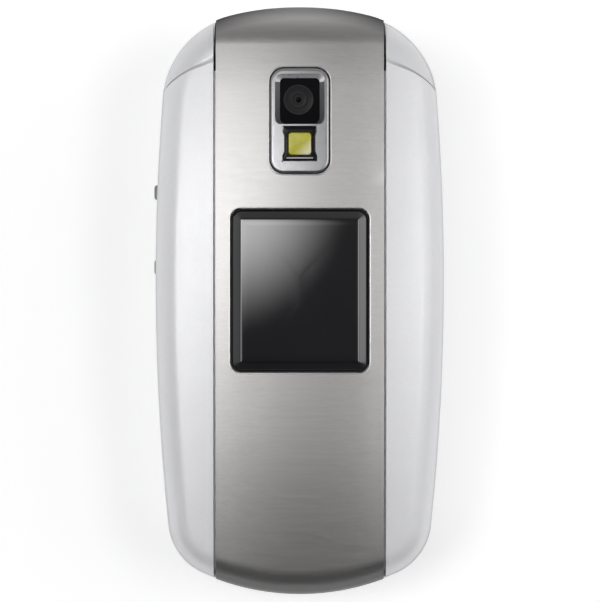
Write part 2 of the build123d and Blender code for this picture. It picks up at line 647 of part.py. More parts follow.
def cam_lobes(x0, x1, clearance=0.0):
    """Two tapered lobes across the hinge axis, as wide at x0 as the cam's valleys let them be."""
    with BuildPart(mode=Mode.PRIVATE) as lobes:
        with BuildSketch(Plane((x0, HINGE_Y, HINGE_Z), x_dir=(0, 1, 0), z_dir=(1, 0, 0))):
            Rectangle(2 * CHAMBER_R, LOBE_W - 2 * clearance)
        extrude(amount=x1 - x0, taper=LOBE_TAPER)
        add(rod(CHAMBER_R - RUN_FIT, x0, x1), mode=Mode.INTERSECT)
    return lobes.part


with BuildPart() as hinge_shaft:
    add(rod(SHAFT_R, -PIN_END, CAM_X))
    add(block(-PIN_END, -SHOULDER_X, 0, BLOCK, HINGE_Z + KEY_FLAT, BLOCK), mode=Mode.SUBTRACT)
    add(rod(CHAMBER_R - RUN_FIT, CAM_X, CAM_X + CAM_T))
    add(cam_lobes(CAM_X + CAM_T, CAM_X + CAM_T + CAM_LIFT))
    with Locations(Location((CAM_X + CAM_T / 2, HINGE_Y, HINGE_Z), (0, 90, 0))):
        Cylinder(SHAFT_R / 3, 2 * CAM_T, mode=Mode.SUBTRACT)
hinge_shaft.part.label = "hinge_shaft"

with BuildPart() as hinge_follower:
    add(rod(CHAMBER_R - RUN_FIT, FOLLOWER_X, FOLLOWER_X + FOLLOWER_T))
    with Locations(Location((FOLLOWER_X + FOLLOWER_T / 2, HINGE_Y, HINGE_Z), (0, 90, 0))):
        Cylinder(SHAFT_R / 2, 2 * FOLLOWER_T, mode=Mode.SUBTRACT)
hinge_follower.part.label = "hinge_follower"

with BuildPart() as hinge_spring:
    pitch = (SPRING_END - SPRING_X - 2 * WIRE_R - 2 * RUN_FIT) / SPRING_TURNS
    coil_r = CHAMBER_R - WIRE_R - RUN_FIT
    start = (SPRING_X + WIRE_R + RUN_FIT, HINGE_Y, HINGE_Z)
    with BuildLine():
        coil = Helix(pitch, pitch * SPRING_TURNS, coil_r, center=start, direction=(1, 0, 0))
    with BuildSketch(Plane(coil @ 0, z_dir=coil % 0)):
        Circle(WIRE_R)
    sweep(is_frenet=True)
hinge_spring.part.label = "hinge_spring"

with BuildPart() as hinge_bush:
    add(rod(CAPSULE_R, BAND_X - BUSH_L, BAND_X - RUN_FIT))
    add(rod(SHAFT_R + RUN_FIT, BAND_X - BUSH_L, BAND_X), mode=Mode.SUBTRACT)
hinge_bush.part.label = "hinge_bush"

with BuildPart() as hinge_pin:
    add(rod(SHAFT_R, BAND_X - BUSH_L + FIT, PIN_END))
    chamfer(hinge_pin.faces().sort_by(Axis.X)[0].edges(), 0.3)
hinge_pin.part.label = "hinge_pin"

with BuildPart() as flex_cable:
    flex_z = HINGE_Z + (FLEX_Z0 + FLEX_Z1) / 2
    roll_r = CAPSULE_R - 2 * FIT - FLEX_T
    roll_y = HINGE_Y - sqrt(roll_r**2 - (flex_z - HINGE_Z) ** 2)
    bend_y = LID_BOARD_Y + LID_BOARD_L / 2
    with BuildSketch(Plane.YZ.offset(FLEX_X0 + FLEX_SIDE)):
        with BuildLine():
            roll_end = (HINGE_Y - roll_r, HINGE_Z - 0.6)
            ThreePointArc((roll_y, flex_z), (HINGE_Y + roll_r, HINGE_Z), roll_end)
            Line((roll_y, flex_z), (bend_y + 1.5, flex_z))
            Line((bend_y + 1.5, flex_z), (bend_y + 0.3, BOARD_Z + BOARD_T / 2))
            Line((bend_y + 0.3, BOARD_Z + BOARD_T / 2), (bend_y + GLUE, BOARD_Z + BOARD_T / 2))
        trace(line_width=FLEX_T)
    extrude(amount=FLEX_X1 - FLEX_X0 - 2 * FLEX_SIDE)
flex_cable.part.label = "flex_cable"

# ---------------------------------------------------------------- lower half, housing

RAY = Vector(0, -cos(radians(SWING_END)), sin(radians(SWING_END)))
PLATE_Z = BASE_TOP - PLATE_T
INNER_Y = HINGE_Y - RECESS_R - LID_WALL  # end of the hollow of the lower half
BAY_TOP = SPLIT_Z - FLOOR_T
BAY_X = BATTERY_W / 2 + BAY_GAP
BAY_Y0 = BATTERY_Y - BATTERY_L / 2 - BAY_GAP
BAY_Y1 = BATTERY_Y + BATTERY_L / 2 + BAY_GAP
RIB_X = BAY_X + RIB_GAP  # inner side of the battery cover's rails


def base_form(inset=0.0):
    """Outer form of the lower half up to its face, with the back's edge rounded all round."""
    with BuildPart(mode=Mode.PRIVATE) as form:
        with BuildSketch(Plane.XY.offset(inset)):
            add(outline(inset, inset))
        extrude(amount=BASE_TOP - inset)
        fillet(form.faces().sort_by(Axis.Z)[0].edges(), BACK_EDGE_R - inset)
    return form.part


def lid_swing():
    """Space behind the hinge axis that the open lid turns through, and the barrel's recess."""
    with BuildPart(mode=Mode.PRIVATE) as space:
        with BuildSketch(Plane.YZ):
            with BuildLine():
                end = Vector(HINGE_Y, HINGE_Z) + Vector(RAY.Y, RAY.Z) * BLOCK
                corners_out = ((BLOCK, -BLOCK), (BLOCK, BLOCK), (HINGE_Y, BLOCK))
                Polyline((HINGE_Y, HINGE_Z), (end.X, end.Y), *corners_out, close=True)
            make_face()
        extrude(amount=BLOCK, both=True)
        add(rod(RECESS_R, -SHOULDER_X, SHOULDER_X))
    return space.part


def bosses(height0, height1, radius):
    """Screw columns of the lower half."""
    columns = Part()
    for x, y in BASE_SCREWS:
        column = Cylinder(radius, height1 - height0, mode=Mode.PRIVATE)
        columns = columns + Pos(x, y, (height0 + height1) / 2) * column
    return columns


def rails(clearance):
    """Two L-shaped rails of the battery cover, or the grooves for them when grown by a clearance."""
    both = Part()
    for side in (-1, 1):
        inner = side * (RIB_X - clearance)
        web = side * (RIB_X + RIB_T + clearance)
        lip = side * (RIB_X + RIB_T + LIP_W + clearance)
        y0 = -BLOCK if clearance else RAIL_Y0
        y1 = COVER_Y + clearance
        top = LIP_Z + LIP_T + clearance
        both = both + block(min(inner, web), max(inner, web), y0, y1, COVER_T / 2, top)
        both = both + block(min(inner, lip), max(inner, lip), y0, y1, LIP_Z - clearance, top)
    return both


form = base_form()
inner_form = base_form(WALL)
shoulders = lid_form(0, BASE_TOP - FIT) & rod(SHOULDER_R, -BLOCK, BLOCK)
shoulders = shoulders - block(-SHOULDER_X, SHOULDER_X, -BLOCK, BLOCK, 0, BLOCK)
cover_x = COVER_X + SLIDE_FIT
cover_y = COVER_Y + SLIDE_FIT
cover_room = form & block(-cover_x, cover_x, -BLOCK, cover_y, 0, COVER_Z + SLIDE_FIT)
cover_room = cover_room - base_form(COVER_T + SLIDE_FIT)

with BuildPart() as base_front_cover:
    add(form & block(-BLOCK, BLOCK, -BLOCK, BLOCK, SPLIT_Z + GLUE, BLOCK))
    fillet(base_front_cover.faces().sort_by(Axis.Z)[-1].edges(), RIM_R)
    add(rod(SHOULDER_R, -BLOCK, BLOCK) & form, mode=Mode.ADD)
    add(block(-BLOCK, BLOCK, -BLOCK, BLOCK, 0, SPLIT_Z + GLUE), mode=Mode.SUBTRACT)
    knuckles = rod(SHOULDER_R, -BLOCK, -SHOULDER_X) + rod(SHOULDER_R, SHOULDER_X, BLOCK)
    add(lid_swing() - knuckles, mode=Mode.SUBTRACT)
    add(shoulders)
    add(inner_form & block(-BLOCK, BLOCK, -BLOCK, INNER_Y, 0, PLATE_Z), mode=Mode.SUBTRACT)
    add(bosses(SPLIT_Z + GLUE, PLATE_Z, BASE_BOSS_R))
    add(bosses(SPLIT_Z, PLATE_Z - 1, SCREW_R), mode=Mode.SUBTRACT)
    for side in (-1, 1):
        middle = side * (SHOULDER_X + PIN_GRIP / 2)
        grip = rod(SHAFT_R + PIN_FIT, middle - PIN_GRIP / 2, middle + PIN_GRIP / 2)
        if side < 0:
            grip = grip - block(-BLOCK, 0, 0, BLOCK, HINGE_Z + KEY_FLAT + PIN_FIT, BLOCK)
        add(grip, mode=Mode.SUBTRACT)
    for x, y, width, length, radius in KEYS.values():
        opening = (width + 2 * KEY_GAP, length + 2 * KEY_GAP)
        add(plate(*opening, PLATE_Z - 1, BLOCK, y, x, radius + KEY_GAP), mode=Mode.SUBTRACT)
    with Locations((0, NAV_Y, BASE_TOP)):
        Cylinder(NAV_R + KEY_GAP, 4 * PLATE_T, mode=Mode.SUBTRACT)
    with Locations((MIC_X, MIC_Y, BASE_TOP)):
        Cylinder(MIC_HOLE_R, 4 * PLATE_T, mode=Mode.SUBTRACT)
    socket_x = SOCKET_W / 2 + FIT
    socket_z = (SOCKET_Z - FIT, SOCKET_Z + SOCKET_T + FIT)
    add(block(-socket_x, socket_x, -BLOCK, SOCKET_Y, *socket_z), mode=Mode.SUBTRACT)
    rocker_y = (ROCKER_Y - ROCKER_L / 2 - KEY_GAP, ROCKER_Y + ROCKER_L / 2 + KEY_GAP)
    rocker_z = (ROCKER_Z - KEY_GAP, ROCKER_Z + ROCKER_T + KEY_GAP)
    add(block(-BLOCK, 3 * WALL - WIDTH / 2, *rocker_y, *rocker_z), mode=Mode.SUBTRACT)
base_front_cover.part.label = "base_front_cover"

with BuildPart() as base_rear_cover:
    add(form & block(-BLOCK, BLOCK, -BLOCK, BLOCK, 0, SPLIT_Z))
    add(lid_swing(), mode=Mode.SUBTRACT)
    add(inner_form & block(-BLOCK, BLOCK, BAY_Y1 + WALL, INNER_Y, 0, BLOCK), mode=Mode.SUBTRACT)
    add(bosses(WALL, SPLIT_Z, BASE_BOSS_R) & form)
    add(cover_room, mode=Mode.SUBTRACT)
    add(plate(2 * BAY_X, BAY_Y1 - BAY_Y0, 0, BAY_TOP, BATTERY_Y, 0, 1), mode=Mode.SUBTRACT)
    add(rails(SLIDE_FIT), mode=Mode.SUBTRACT)
    add(plate(SIM_W + FIT, SIM_L + FIT, BAY_TOP - FIT, BAY_TOP + SIM_T + FIT, SIM_Y), mode=Mode.SUBTRACT)
    contact_x = (CONTACT_X - CONTACT_W / 2 - FIT, CONTACT_X + CONTACT_W / 2 + FIT)
    contact_z = (CONTACT_Z, CONTACT_Z + CONTACT_H)
    add(block(*contact_x, BAY_Y1 - 1, BAY_Y1 + CONTACT_D, *contact_z), mode=Mode.SUBTRACT)
    for x, y in BASE_SCREWS:
        with Locations((x, y, 0)):
            Cylinder(HEAD_R + FIT / 2, 2 * BASE_HEAD_Z, mode=Mode.SUBTRACT)
            Cylinder(SCREW_R + FIT / 2, 2 * BLOCK, mode=Mode.SUBTRACT)
    with Locations((SPEAKER_X, SPEAKER_Y, 0)):
        with GridLocations(1.6, 1.6, 4, 3):
            Cylinder(0.45, 4 * WALL, mode=Mode.SUBTRACT)
base_rear_cover.part.label = "base_rear_cover"

with BuildPart() as battery_cover:
    add(form & block(-COVER_X, COVER_X, -BLOCK, COVER_Y, 0, COVER_Z))
    add(base_form(COVER_T), mode=Mode.SUBTRACT)
    add(rails(0) - block(-BLOCK, BLOCK, -BLOCK, BLOCK, 0, COVER_T - GLUE))
    with Locations((0, COVER_Y - 6, 0)):
        with GridLocations(1, 1.2, 1, 4):
            Box(12, 0.5, 0.5, mode=Mode.SUBTRACT)
battery_cover.part.label = "battery_cover"

# ---------------------------------------------------------------- lower half, inside

BOARD_Z0 = SPLIT_Z + CAN_T + GLUE
BOARD_Z1 = BOARD_Z0 + BOARD_T
DOME_Z = BOARD_Z1 + GLUE
MAT_Z = DOME_Z + DOME_SHEET_T + DOME_H + GLUE
MAT_TOP = MAT_Z + MAT_T
KEY_Z = MAT_TOP + NUB_H + KEY_TRAVEL + GLUE  # underside of a key at rest
KEY_TOP = BASE_TOP + KEY_PROUD

with BuildPart() as battery:
    with BuildSketch(Plane.XY.offset(COVER_T + 2 * SLIDE_FIT)):
        with Locations((0, BATTERY_Y)):
            RectangleRounded(BATTERY_W, BATTERY_L, 1.5)
    extrude(amount=BATTERY_T)
    fillet(battery.faces().sort_by(Axis.Z)[0].edges(), 0.8)
    with Locations((CONTACT_X, BATTERY_Y + BATTERY_L / 2, CONTACT_Z + CONTACT_H / 2)):
        with GridLocations(CONTACT_PITCH, 1, 3, 1):
            Box(CONTACT_PITCH / 2, 1, CONTACT_H / 2, mode=Mode.SUBTRACT)
battery.part.label = "battery"

with BuildPart() as sim_holder:
    with BuildSketch(Plane.XY.offset(BAY_TOP)):
        with Locations((0, SIM_Y)):
            RectangleRounded(SIM_W, SIM_L, 0.8)
            Rectangle(SIM_W - 5, SIM_L - 5, mode=Mode.SUBTRACT)
    extrude(amount=SIM_T)
    with BuildSketch(Plane.XY.offset(BAY_TOP)):
        with Locations((0, SIM_Y)):
            with GridLocations(SIM_W / 3, 1, 3, 1):
                Rectangle(1.2, SIM_L - 1)
    extrude(amount=SIM_T / 2)
sim_holder.part.label = "sim_holder"

with BuildPart() as main_board:
    board_top = INNER_Y - 2 * FIT
    add(inner_form & block(-BOARD_X, BOARD_X, BOARD_Y0, board_top, BOARD_Z0, BOARD_Z1))
    add(bosses(0, BLOCK, BASE_BOSS_R + FIT), mode=Mode.SUBTRACT)
    chamfer(main_board.edges().filter_by(Axis.Z).group_by(Axis.Y)[0], 1)
main_board.part.label = "main_board"

with BuildPart() as shield_can:
    with BuildSketch(Plane.XY.offset(SPLIT_Z)):
        with Locations((0, CAN_Y)):
            RectangleRounded(CAN_W, CAN_L, 0.8)
    extrude(amount=CAN_T)
    offset(amount=-CAN_WALL, openings=shield_can.faces().sort_by(Axis.Z)[-1])
    with Locations((0, CAN_Y, SPLIT_Z)):
        with GridLocations(CAN_W / 3, CAN_L / 4, 3, 4):
            Cylinder(0.6, 4 * CAN_WALL, mode=Mode.SUBTRACT)
shield_can.part.label = "shield_can"

with BuildPart() as dome_sheet:
    with BuildSketch(Plane.XY.offset(DOME_Z)):
        with Locations((0, MAT_Y)):
            RectangleRounded(MAT_W, MAT_L, 2)
    extrude(amount=DOME_SHEET_T)
    for x, y, width, length, radius in KEYS.values():
        with Locations((x, y, DOME_Z + DOME_SHEET_T)):
            Cone(DOME_R, DOME_R / 2, DOME_H, align=(Align.CENTER, Align.CENTER, Align.MIN))
dome_sheet.part.label = "dome_sheet"

with BuildPart() as keypad_mat:
    with BuildSketch(Plane.XY.offset(MAT_Z)):
        with Locations((0, MAT_Y)):
            RectangleRounded(MAT_W, MAT_L, 2)
    extrude(amount=MAT_T)
    for x, y, width, length, radius in KEYS.values():
        with Locations((x, y, MAT_TOP)):
            Cone(NUB_R, NUB_R - NUB_H, NUB_H, align=(Align.CENTER, Align.CENTER, Align.MIN))
    with Locations((0, NAV_Y, MAT_TOP)):
        Cylinder(NUB_R, NUB_H, align=(Align.CENTER, Align.CENTER, Align.MIN))
keypad_mat.part.label = "keypad_mat"

with BuildPart() as antenna_box:
    with BuildSketch(Plane.XY.offset(WALL + GLUE)):
        with Locations((ANTENNA_X, ANTENNA_Y)):
            RectangleRounded(ANTENNA_W, ANTENNA_L, ANTENNA_R)
    extrude(amount=SPLIT_Z - WALL - 2 * GLUE)
    offset(amount=-ANTENNA_WALL, openings=antenna_box.faces().sort_by(Axis.Z)[-1])

with BuildPart() as speaker_module:  # loudspeaker, and the box beside it that also carries the antenna
    with BuildSketch(Plane.XY.offset(WALL + GLUE)):
        with Locations((SPEAKER_X, SPEAKER_Y)):
            Circle(SPEAKER_R)
    extrude(amount=SPEAKER_T)
    fillet(speaker_module.faces().sort_by(Axis.Z)[-1].edges(), 0.6)
    with BuildSketch(Plane.XY.offset(WALL + GLUE)):
        with Locations((SPEAKER_X, SPEAKER_Y)):
            Circle(SPEAKER_R - 1)
            Circle(SPEAKER_R - 3, mode=Mode.SUBTRACT)
    extrude(amount=SPEAKER_T / 6, mode=Mode.SUBTRACT)
    add(antenna_box.part)
speaker_module.part.label = "speaker_module"

with BuildPart() as vibration_motor:
    motor_z = WALL + GLUE + MOTOR_R
    add(rod(MOTOR_R, MOTOR_X - MOTOR_L / 2, MOTOR_X + MOTOR_L / 2, MOTOR_Y, motor_z))
    add(rod(0.4, MOTOR_X + MOTOR_L / 2, MOTOR_X + MOTOR_L / 2 + 2.5, MOTOR_Y, motor_z))
    weight = rod(MOTOR_R, MOTOR_X + MOTOR_L / 2 + 0.5, MOTOR_X + MOTOR_L / 2 + 2.5, MOTOR_Y, motor_z)
    add(weight & block(-BLOCK, BLOCK, MOTOR_Y - 0.6, BLOCK, 0, BLOCK))
vibration_motor.part.label = "vibration_motor"

with BuildPart() as board_parts:  # battery contacts, microphone and the volume key's switch
    contact_y = BAY_Y1 + CONTACT_D / 2
    with Locations((CONTACT_X, contact_y, CONTACT_Z + CONTACT_H / 2)):
        Box(CONTACT_W, CONTACT_D - FIT, CONTACT_H - FIT)
        with GridLocations(CONTACT_PITCH, 1, 3, 1):
            Box(CONTACT_PITCH / 3, CONTACT_D + 2 * BAY_GAP, CONTACT_H / 3)
    with Locations((MIC_X, MIC_Y, BOARD_Z1)):
        Cylinder(MIC_R, PLATE_Z - BOARD_Z1 - GLUE, align=(Align.CENTER, Align.CENTER, Align.MIN))
    with Locations((MIC_X, MIC_Y, PLATE_Z)):
        Cylinder(MIC_HOLE_R, 1.2, mode=Mode.SUBTRACT)
    switch_x = -WIDTH / 2 + ROCKER_DEPTH + SWITCH_GAP
    add(block(switch_x, switch_x + SWITCH_D, ROCKER_Y - 4, ROCKER_Y + 4, BOARD_Z1, BOARD_Z1 + SWITCH_T))
    with Locations((switch_x, ROCKER_Y, BOARD_Z1 + SWITCH_T / 2)):
        with GridLocations(1, ROCKER_L / 2, 1, 2):
            Box(0.4, 1.2, SWITCH_T / 2)
board_parts.part.label = "board_parts"

with BuildPart() as accessory_socket:
    with BuildSketch(Plane.XZ.offset(-SOCKET_Y)):
        with Locations((0, SOCKET_Z + SOCKET_T / 2)):
            RectangleRounded(SOCKET_W, SOCKET_T, 0.4)
    extrude(amount=SOCKET_D)
    mouth = accessory_socket.faces().sort_by(Axis.Y)[0]
    offset(amount=-0.25, openings=mouth)
    with Locations((0, SOCKET_Y - SOCKET_D / 2, SOCKET_Z + SOCKET_T / 2)):
        Box(SOCKET_W - 3, SOCKET_D - 1.5, 0.6)
    add(block(-SOCKET_W / 2, SOCKET_W / 2, SOCKET_Y - 1, SOCKET_Y, SOCKET_Z, SOCKET_Z + SOCKET_T))
accessory_socket.part.label = "accessory_socket"

with BuildPart() as base_screws:
    for x, y in BASE_SCREWS:
        with Locations((x, y, BASE_HEAD_Z - HEAD_T)):
            Cylinder(HEAD_R, HEAD_T, align=(Align.CENTER, Align.CENTER, Align.MIN))
        with Locations((x, y, BASE_HEAD_Z)):
            Cylinder(SCREW_R, BASE_SCREW_L, align=(Align.CENTER, Align.CENTER, Align.MIN))
base_screws.part.label = "base_screws"

# ---------------------------------------------------------------- keys


def key(x, y, width, length, radius):
    """Key cap with a retaining flange under the keypad face."""
    with BuildPart(mode=Mode.PRIVATE) as cap:
        with BuildSketch(Plane.XY.offset(KEY_Z)):
            with Locations((x, y)):
                RectangleRounded(width + FLANGE_W, length + FLANGE_W, radius + FLANGE_W / 2)
        extrude(amount=PLATE_Z - KEY_Z - GLUE)
        with BuildSketch(Plane.XY.offset(KEY_Z)):
            with Locations((x, y)):
                RectangleRounded(width, length, radius)
        extrude(amount=KEY_TOP - KEY_Z)
        fillet(cap.faces().sort_by(Axis.Z)[-1].edges(), KEY_EDGE_R)
    return cap


keys = []
for name, place in KEYS.items():
    cap = key(*place)
    cap.part.label = name
    keys.append(cap)

with BuildPart() as key_ok:
    with BuildSketch(Plane.XY.offset(KEY_Z)):
        with Locations((0, NAV_Y)):
            Circle(OK_R)
    extrude(amount=KEY_TOP - KEY_Z)
    fillet(key_ok.faces().sort_by(Axis.Z)[-1].edges(), KEY_EDGE_R)
key_ok.part.label = "key_ok"

with BuildPart() as nav_carrier:
    carrier_z = MAT_TOP + NUB_H + GLUE
    with BuildSketch(Plane.XY.offset(carrier_z)):
        with Locations((0, NAV_Y)):
            Circle(NAV_R - 1.4)
            Circle(OK_R + 2 * KEY_GAP, mode=Mode.SUBTRACT)
    extrude(amount=CARRIER_T)
nav_carrier.part.label = "nav_carrier"

with BuildPart() as nav_ring:
    ring_z = carrier_z + CARRIER_T + NAV_GAP
    with BuildSketch(Plane.XY.offset(ring_z)):
        with Locations((0, NAV_Y)):
            Circle(NAV_R)
            Circle(OK_R + KEY_GAP, mode=Mode.SUBTRACT)
    extrude(amount=BASE_TOP - ring_z)
    fillet(nav_ring.faces().sort_by(Axis.Z)[-1].edges(), KEY_EDGE_R)
nav_ring.part.label = "nav_ring"

with BuildPart() as volume_key:
    side = outline(ROCKER_Z) - outline(ROCKER_Z, ROCKER_DEPTH)
    with BuildSketch(Plane.XY.offset(ROCKER_Z)):
        add(side)
        with Locations((-WIDTH / 2, ROCKER_Y)):
            Rectangle(4 * WALL, ROCKER_L, mode=Mode.INTERSECT)
        with Locations((NUB_ROOT - WIDTH / 2, ROCKER_Y)):
            with GridLocations(1, ROCKER_L - NUB_L, 1, 2):
                RectangleRounded(2 * (NUB_PROUD + NUB_ROOT), NUB_L, 0.4)
    extrude(amount=ROCKER_T)
volume_key.part.label = "volume_key"

# ---------------------------------------------------------------- files

lid_pieces = [lid_outer_shell, lid_band, outer_window, camera_bezel, camera_window, camera_module]
lid_pieces += [flash_frame, flash_led, lid_inner_cover, main_window, main_display, lid_board]
lid_pieces += [outer_display, earpiece, earpiece_mesh, lid_magnet, lid_bumpers, lid_screws]
hinge_pieces = [hinge_capsule, hinge_shaft, hinge_follower, hinge_spring, hinge_bush, hinge_pin, flex_cable]
base_pieces = [base_front_cover, base_rear_cover, battery_cover, battery, sim_holder]
base_pieces += [main_board, shield_can, dome_sheet, keypad_mat, speaker_module]
base_pieces += [vibration_motor, board_parts, accessory_socket, base_screws]
key_pieces = [*keys, key_ok, nav_carrier, nav_ring, volume_key]

os.makedirs("parts", exist_ok=True)
for piece in [*lid_pieces, *hinge_pieces, *base_pieces, *key_pieces]:
    export_step(piece.part, f"parts/{piece.part.label}.step")
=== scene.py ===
"""Clamshell phone: gives the solid model its finishes, its detailed outer pieces and its legends."""

import json
from math import pi, radians, sqrt

import bmesh
import bpy
import numpy as np
from bpy.props import FloatProperty, FloatVectorProperty, PointerProperty
from mathutils import Matrix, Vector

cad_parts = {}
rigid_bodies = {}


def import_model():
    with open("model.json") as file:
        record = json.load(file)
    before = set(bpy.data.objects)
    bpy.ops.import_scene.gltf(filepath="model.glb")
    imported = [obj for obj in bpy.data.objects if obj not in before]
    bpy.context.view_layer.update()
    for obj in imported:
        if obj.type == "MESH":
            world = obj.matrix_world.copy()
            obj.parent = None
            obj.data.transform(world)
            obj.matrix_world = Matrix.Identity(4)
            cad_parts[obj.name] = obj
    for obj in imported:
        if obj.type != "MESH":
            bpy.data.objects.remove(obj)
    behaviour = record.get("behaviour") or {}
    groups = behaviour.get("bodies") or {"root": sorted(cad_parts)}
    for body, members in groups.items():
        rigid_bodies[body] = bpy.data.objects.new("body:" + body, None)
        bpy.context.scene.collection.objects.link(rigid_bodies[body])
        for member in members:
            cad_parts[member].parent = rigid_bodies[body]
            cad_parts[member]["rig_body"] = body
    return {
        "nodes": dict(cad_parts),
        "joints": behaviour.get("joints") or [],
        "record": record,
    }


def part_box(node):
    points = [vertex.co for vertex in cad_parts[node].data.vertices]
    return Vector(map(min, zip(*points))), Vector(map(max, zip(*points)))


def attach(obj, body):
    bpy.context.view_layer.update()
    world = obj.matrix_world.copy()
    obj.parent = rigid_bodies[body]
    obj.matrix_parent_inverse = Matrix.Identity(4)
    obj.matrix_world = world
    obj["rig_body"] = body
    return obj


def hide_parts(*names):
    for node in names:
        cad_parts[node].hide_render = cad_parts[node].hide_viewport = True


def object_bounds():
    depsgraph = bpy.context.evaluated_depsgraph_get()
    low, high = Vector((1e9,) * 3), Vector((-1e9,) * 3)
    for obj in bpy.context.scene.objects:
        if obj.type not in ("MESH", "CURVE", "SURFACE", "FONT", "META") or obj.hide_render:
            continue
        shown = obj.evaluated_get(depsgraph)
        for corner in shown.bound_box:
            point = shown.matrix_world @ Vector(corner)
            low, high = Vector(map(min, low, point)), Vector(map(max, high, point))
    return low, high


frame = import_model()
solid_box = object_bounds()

bl_info = {
    "name": "Clamshell phone",
    "version": (1, 0, 0),
    "blender": (4, 5, 0),
    "location": "3D View > Sidebar > Phone",
    "description": "Finishes and detailed pieces of a clamshell phone",
    "category": "Object",
}

MM = 0.001

# ---------------------------------------------------------------- sizes taken from the frame


def centre_of(node):
    """Middle of a solid's box."""
    low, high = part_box(node)
    return (low + high) / 2


def size_of(node):
    """Sides of a solid's box."""
    low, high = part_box(node)
    return high - low


SLOT_OF = {row["node"]: row["material_slot"] for row in frame["record"]["subparts"]}
HINGE = next(j for j in frame["joints"] if j["name"] == "lid_hinge")["pos_m"]
CROWN_R = 230 * MM  # crown along the phone
CROSS_R = 75 * MM  # crown across the phone
BARREL_R = 6.5 * MM
BAND_PROUD = 0.3 * MM  # the band's outer face above the crown
WINDOW_PROUD = 0.15 * MM  # the window's face above the band
FOOT_R = 35.3 * MM  # end arc of the plan outline at the lower end
HEAD_R = 40.1 * MM  # end arc at the hinge end
CROWN_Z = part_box("outer_window")[1].z - BAND_PROUD - WINDOW_PROUD
CROWN_Y = HINGE[1] - sqrt((CROWN_R - BARREL_R) ** 2 - (CROWN_Z - CROWN_R - HINGE[2]) ** 2)


def crown(x, y, offset):
    """Height of the lid's doubly curved face: an arc along the phone turned about a line under it."""
    along = CROSS_R - CROWN_R + np.sqrt((CROWN_R + offset) ** 2 - (y - CROWN_Y) ** 2)
    return CROWN_Z - CROSS_R + np.sqrt(along**2 - x**2)


def barrel(x, y, offset):
    """Height of the lid's round end: the barrel's arc about the hinge axis, turned about the same line."""
    along = HINGE[2] + np.sqrt((BARREL_R + offset) ** 2 - (y - HINGE[1]) ** 2) - CROWN_Z + CROSS_R
    return CROWN_Z - CROSS_R + np.sqrt(along**2 - x**2)


# ---------------------------------------------------------------- settings


class WindowSettings(bpy.types.PropertyGroup):
    """Bevelled window of the outer display."""

    bevel: FloatProperty(
        name="Bevel", description="Width of the sloped border",
        default=1.5 * MM, unit="LENGTH",
    )
    corner: FloatProperty(
        name="Corner", description="Radius of the outer corners",
        default=1.6 * MM, unit="LENGTH",
    )
    sink: FloatProperty(
        name="Sink", description="Depth of the outer edge under the band",
        default=0.55 * MM, unit="LENGTH",
    )


class CameraSettings(bpy.types.PropertyGroup):
    """Bright frame round the camera and the flash."""

    lip: FloatProperty(
        name="Lip", description="Rounding of the frame's outer edge",
        default=0.35 * MM, unit="LENGTH",
    )
    flare: FloatProperty(
        name="Flare", description="Slope of the pocket's walls",
        default=0.7 * MM, unit="LENGTH",
    )
    lens: FloatProperty(
        name="Lens", description="Radius of the lens disc",
        default=2.2 * MM, unit="LENGTH",
    )


class PaintSettings(bpy.types.PropertyGroup):
    """Main colours."""

    pearl: FloatVectorProperty(
        name="Pearl", description="Housing paint",
        default=(0.89, 0.89, 0.91), size=3, subtype="COLOR",
    )
    band: FloatVectorProperty(
        name="Band", description="Brushed band",
        default=(0.54, 0.53, 0.525), size=3, subtype="COLOR",
    )
    keys: FloatVectorProperty(
        name="Keys", description="Key caps",
        default=(0.47, 0.48, 0.50), size=3, subtype="COLOR",
    )
    legend: FloatVectorProperty(
        name="Legend", description="Printing on the keys",
        default=(0.05, 0.06, 0.09), size=3, subtype="COLOR",
    )


class StageSettings(bpy.types.PropertyGroup):
    """Camera, floor and light."""

    distance: FloatProperty(
        name="Distance", description="Camera above the phone",
        default=0.9, unit="LENGTH",
    )
    view_height: FloatProperty(
        name="View height", description="Height of the picture at the phone",
        default=88.77 * MM, unit="LENGTH",
    )
    dome: FloatProperty(
        name="Dome", description="Strength of the even light from all round",
        default=0.95,
    )
    glow: FloatProperty(
        name="Glow", description="Strength of the soft lights overhead",
        default=5.0,
    )
    floor_lift: FloatProperty(
        name="Floor lift", description="Whiteness added to the floor for the camera",
        default=0.46,
    )


# ---------------------------------------------------------------- making finishes


def put(tree, kind, settings=None, **inputs):
    """Adds a node to a tree; an input that is a socket is linked and any other value is set."""
    node = tree.nodes.new(kind)
    for name, value in (settings or {}).items():
        setattr(node, name, value)
    for name, value in inputs.items():
        key = int(name[1:]) if name[1:].isdigit() else name.replace("_", " ")
        if isinstance(value, bpy.types.NodeSocket):
            tree.links.new(value, node.inputs[key])
        else:
            node.inputs[key].default_value = value
    return node


def operate(tree, operation, *values):
    """Result of a Math node on numbers or sockets."""
    inputs = {f"i{order}": value for order, value in enumerate(values)}
    return put(tree, "ShaderNodeMath", {"operation": operation}, **inputs).outputs[0]


def combine(tree, operation, first, second=(0, 0, 0), output="Vector"):
    """Result of a Vector Math node on vectors or sockets."""
    return put(tree, "ShaderNodeVectorMath", {"operation": operation}, i0=first, i1=second).outputs[output]


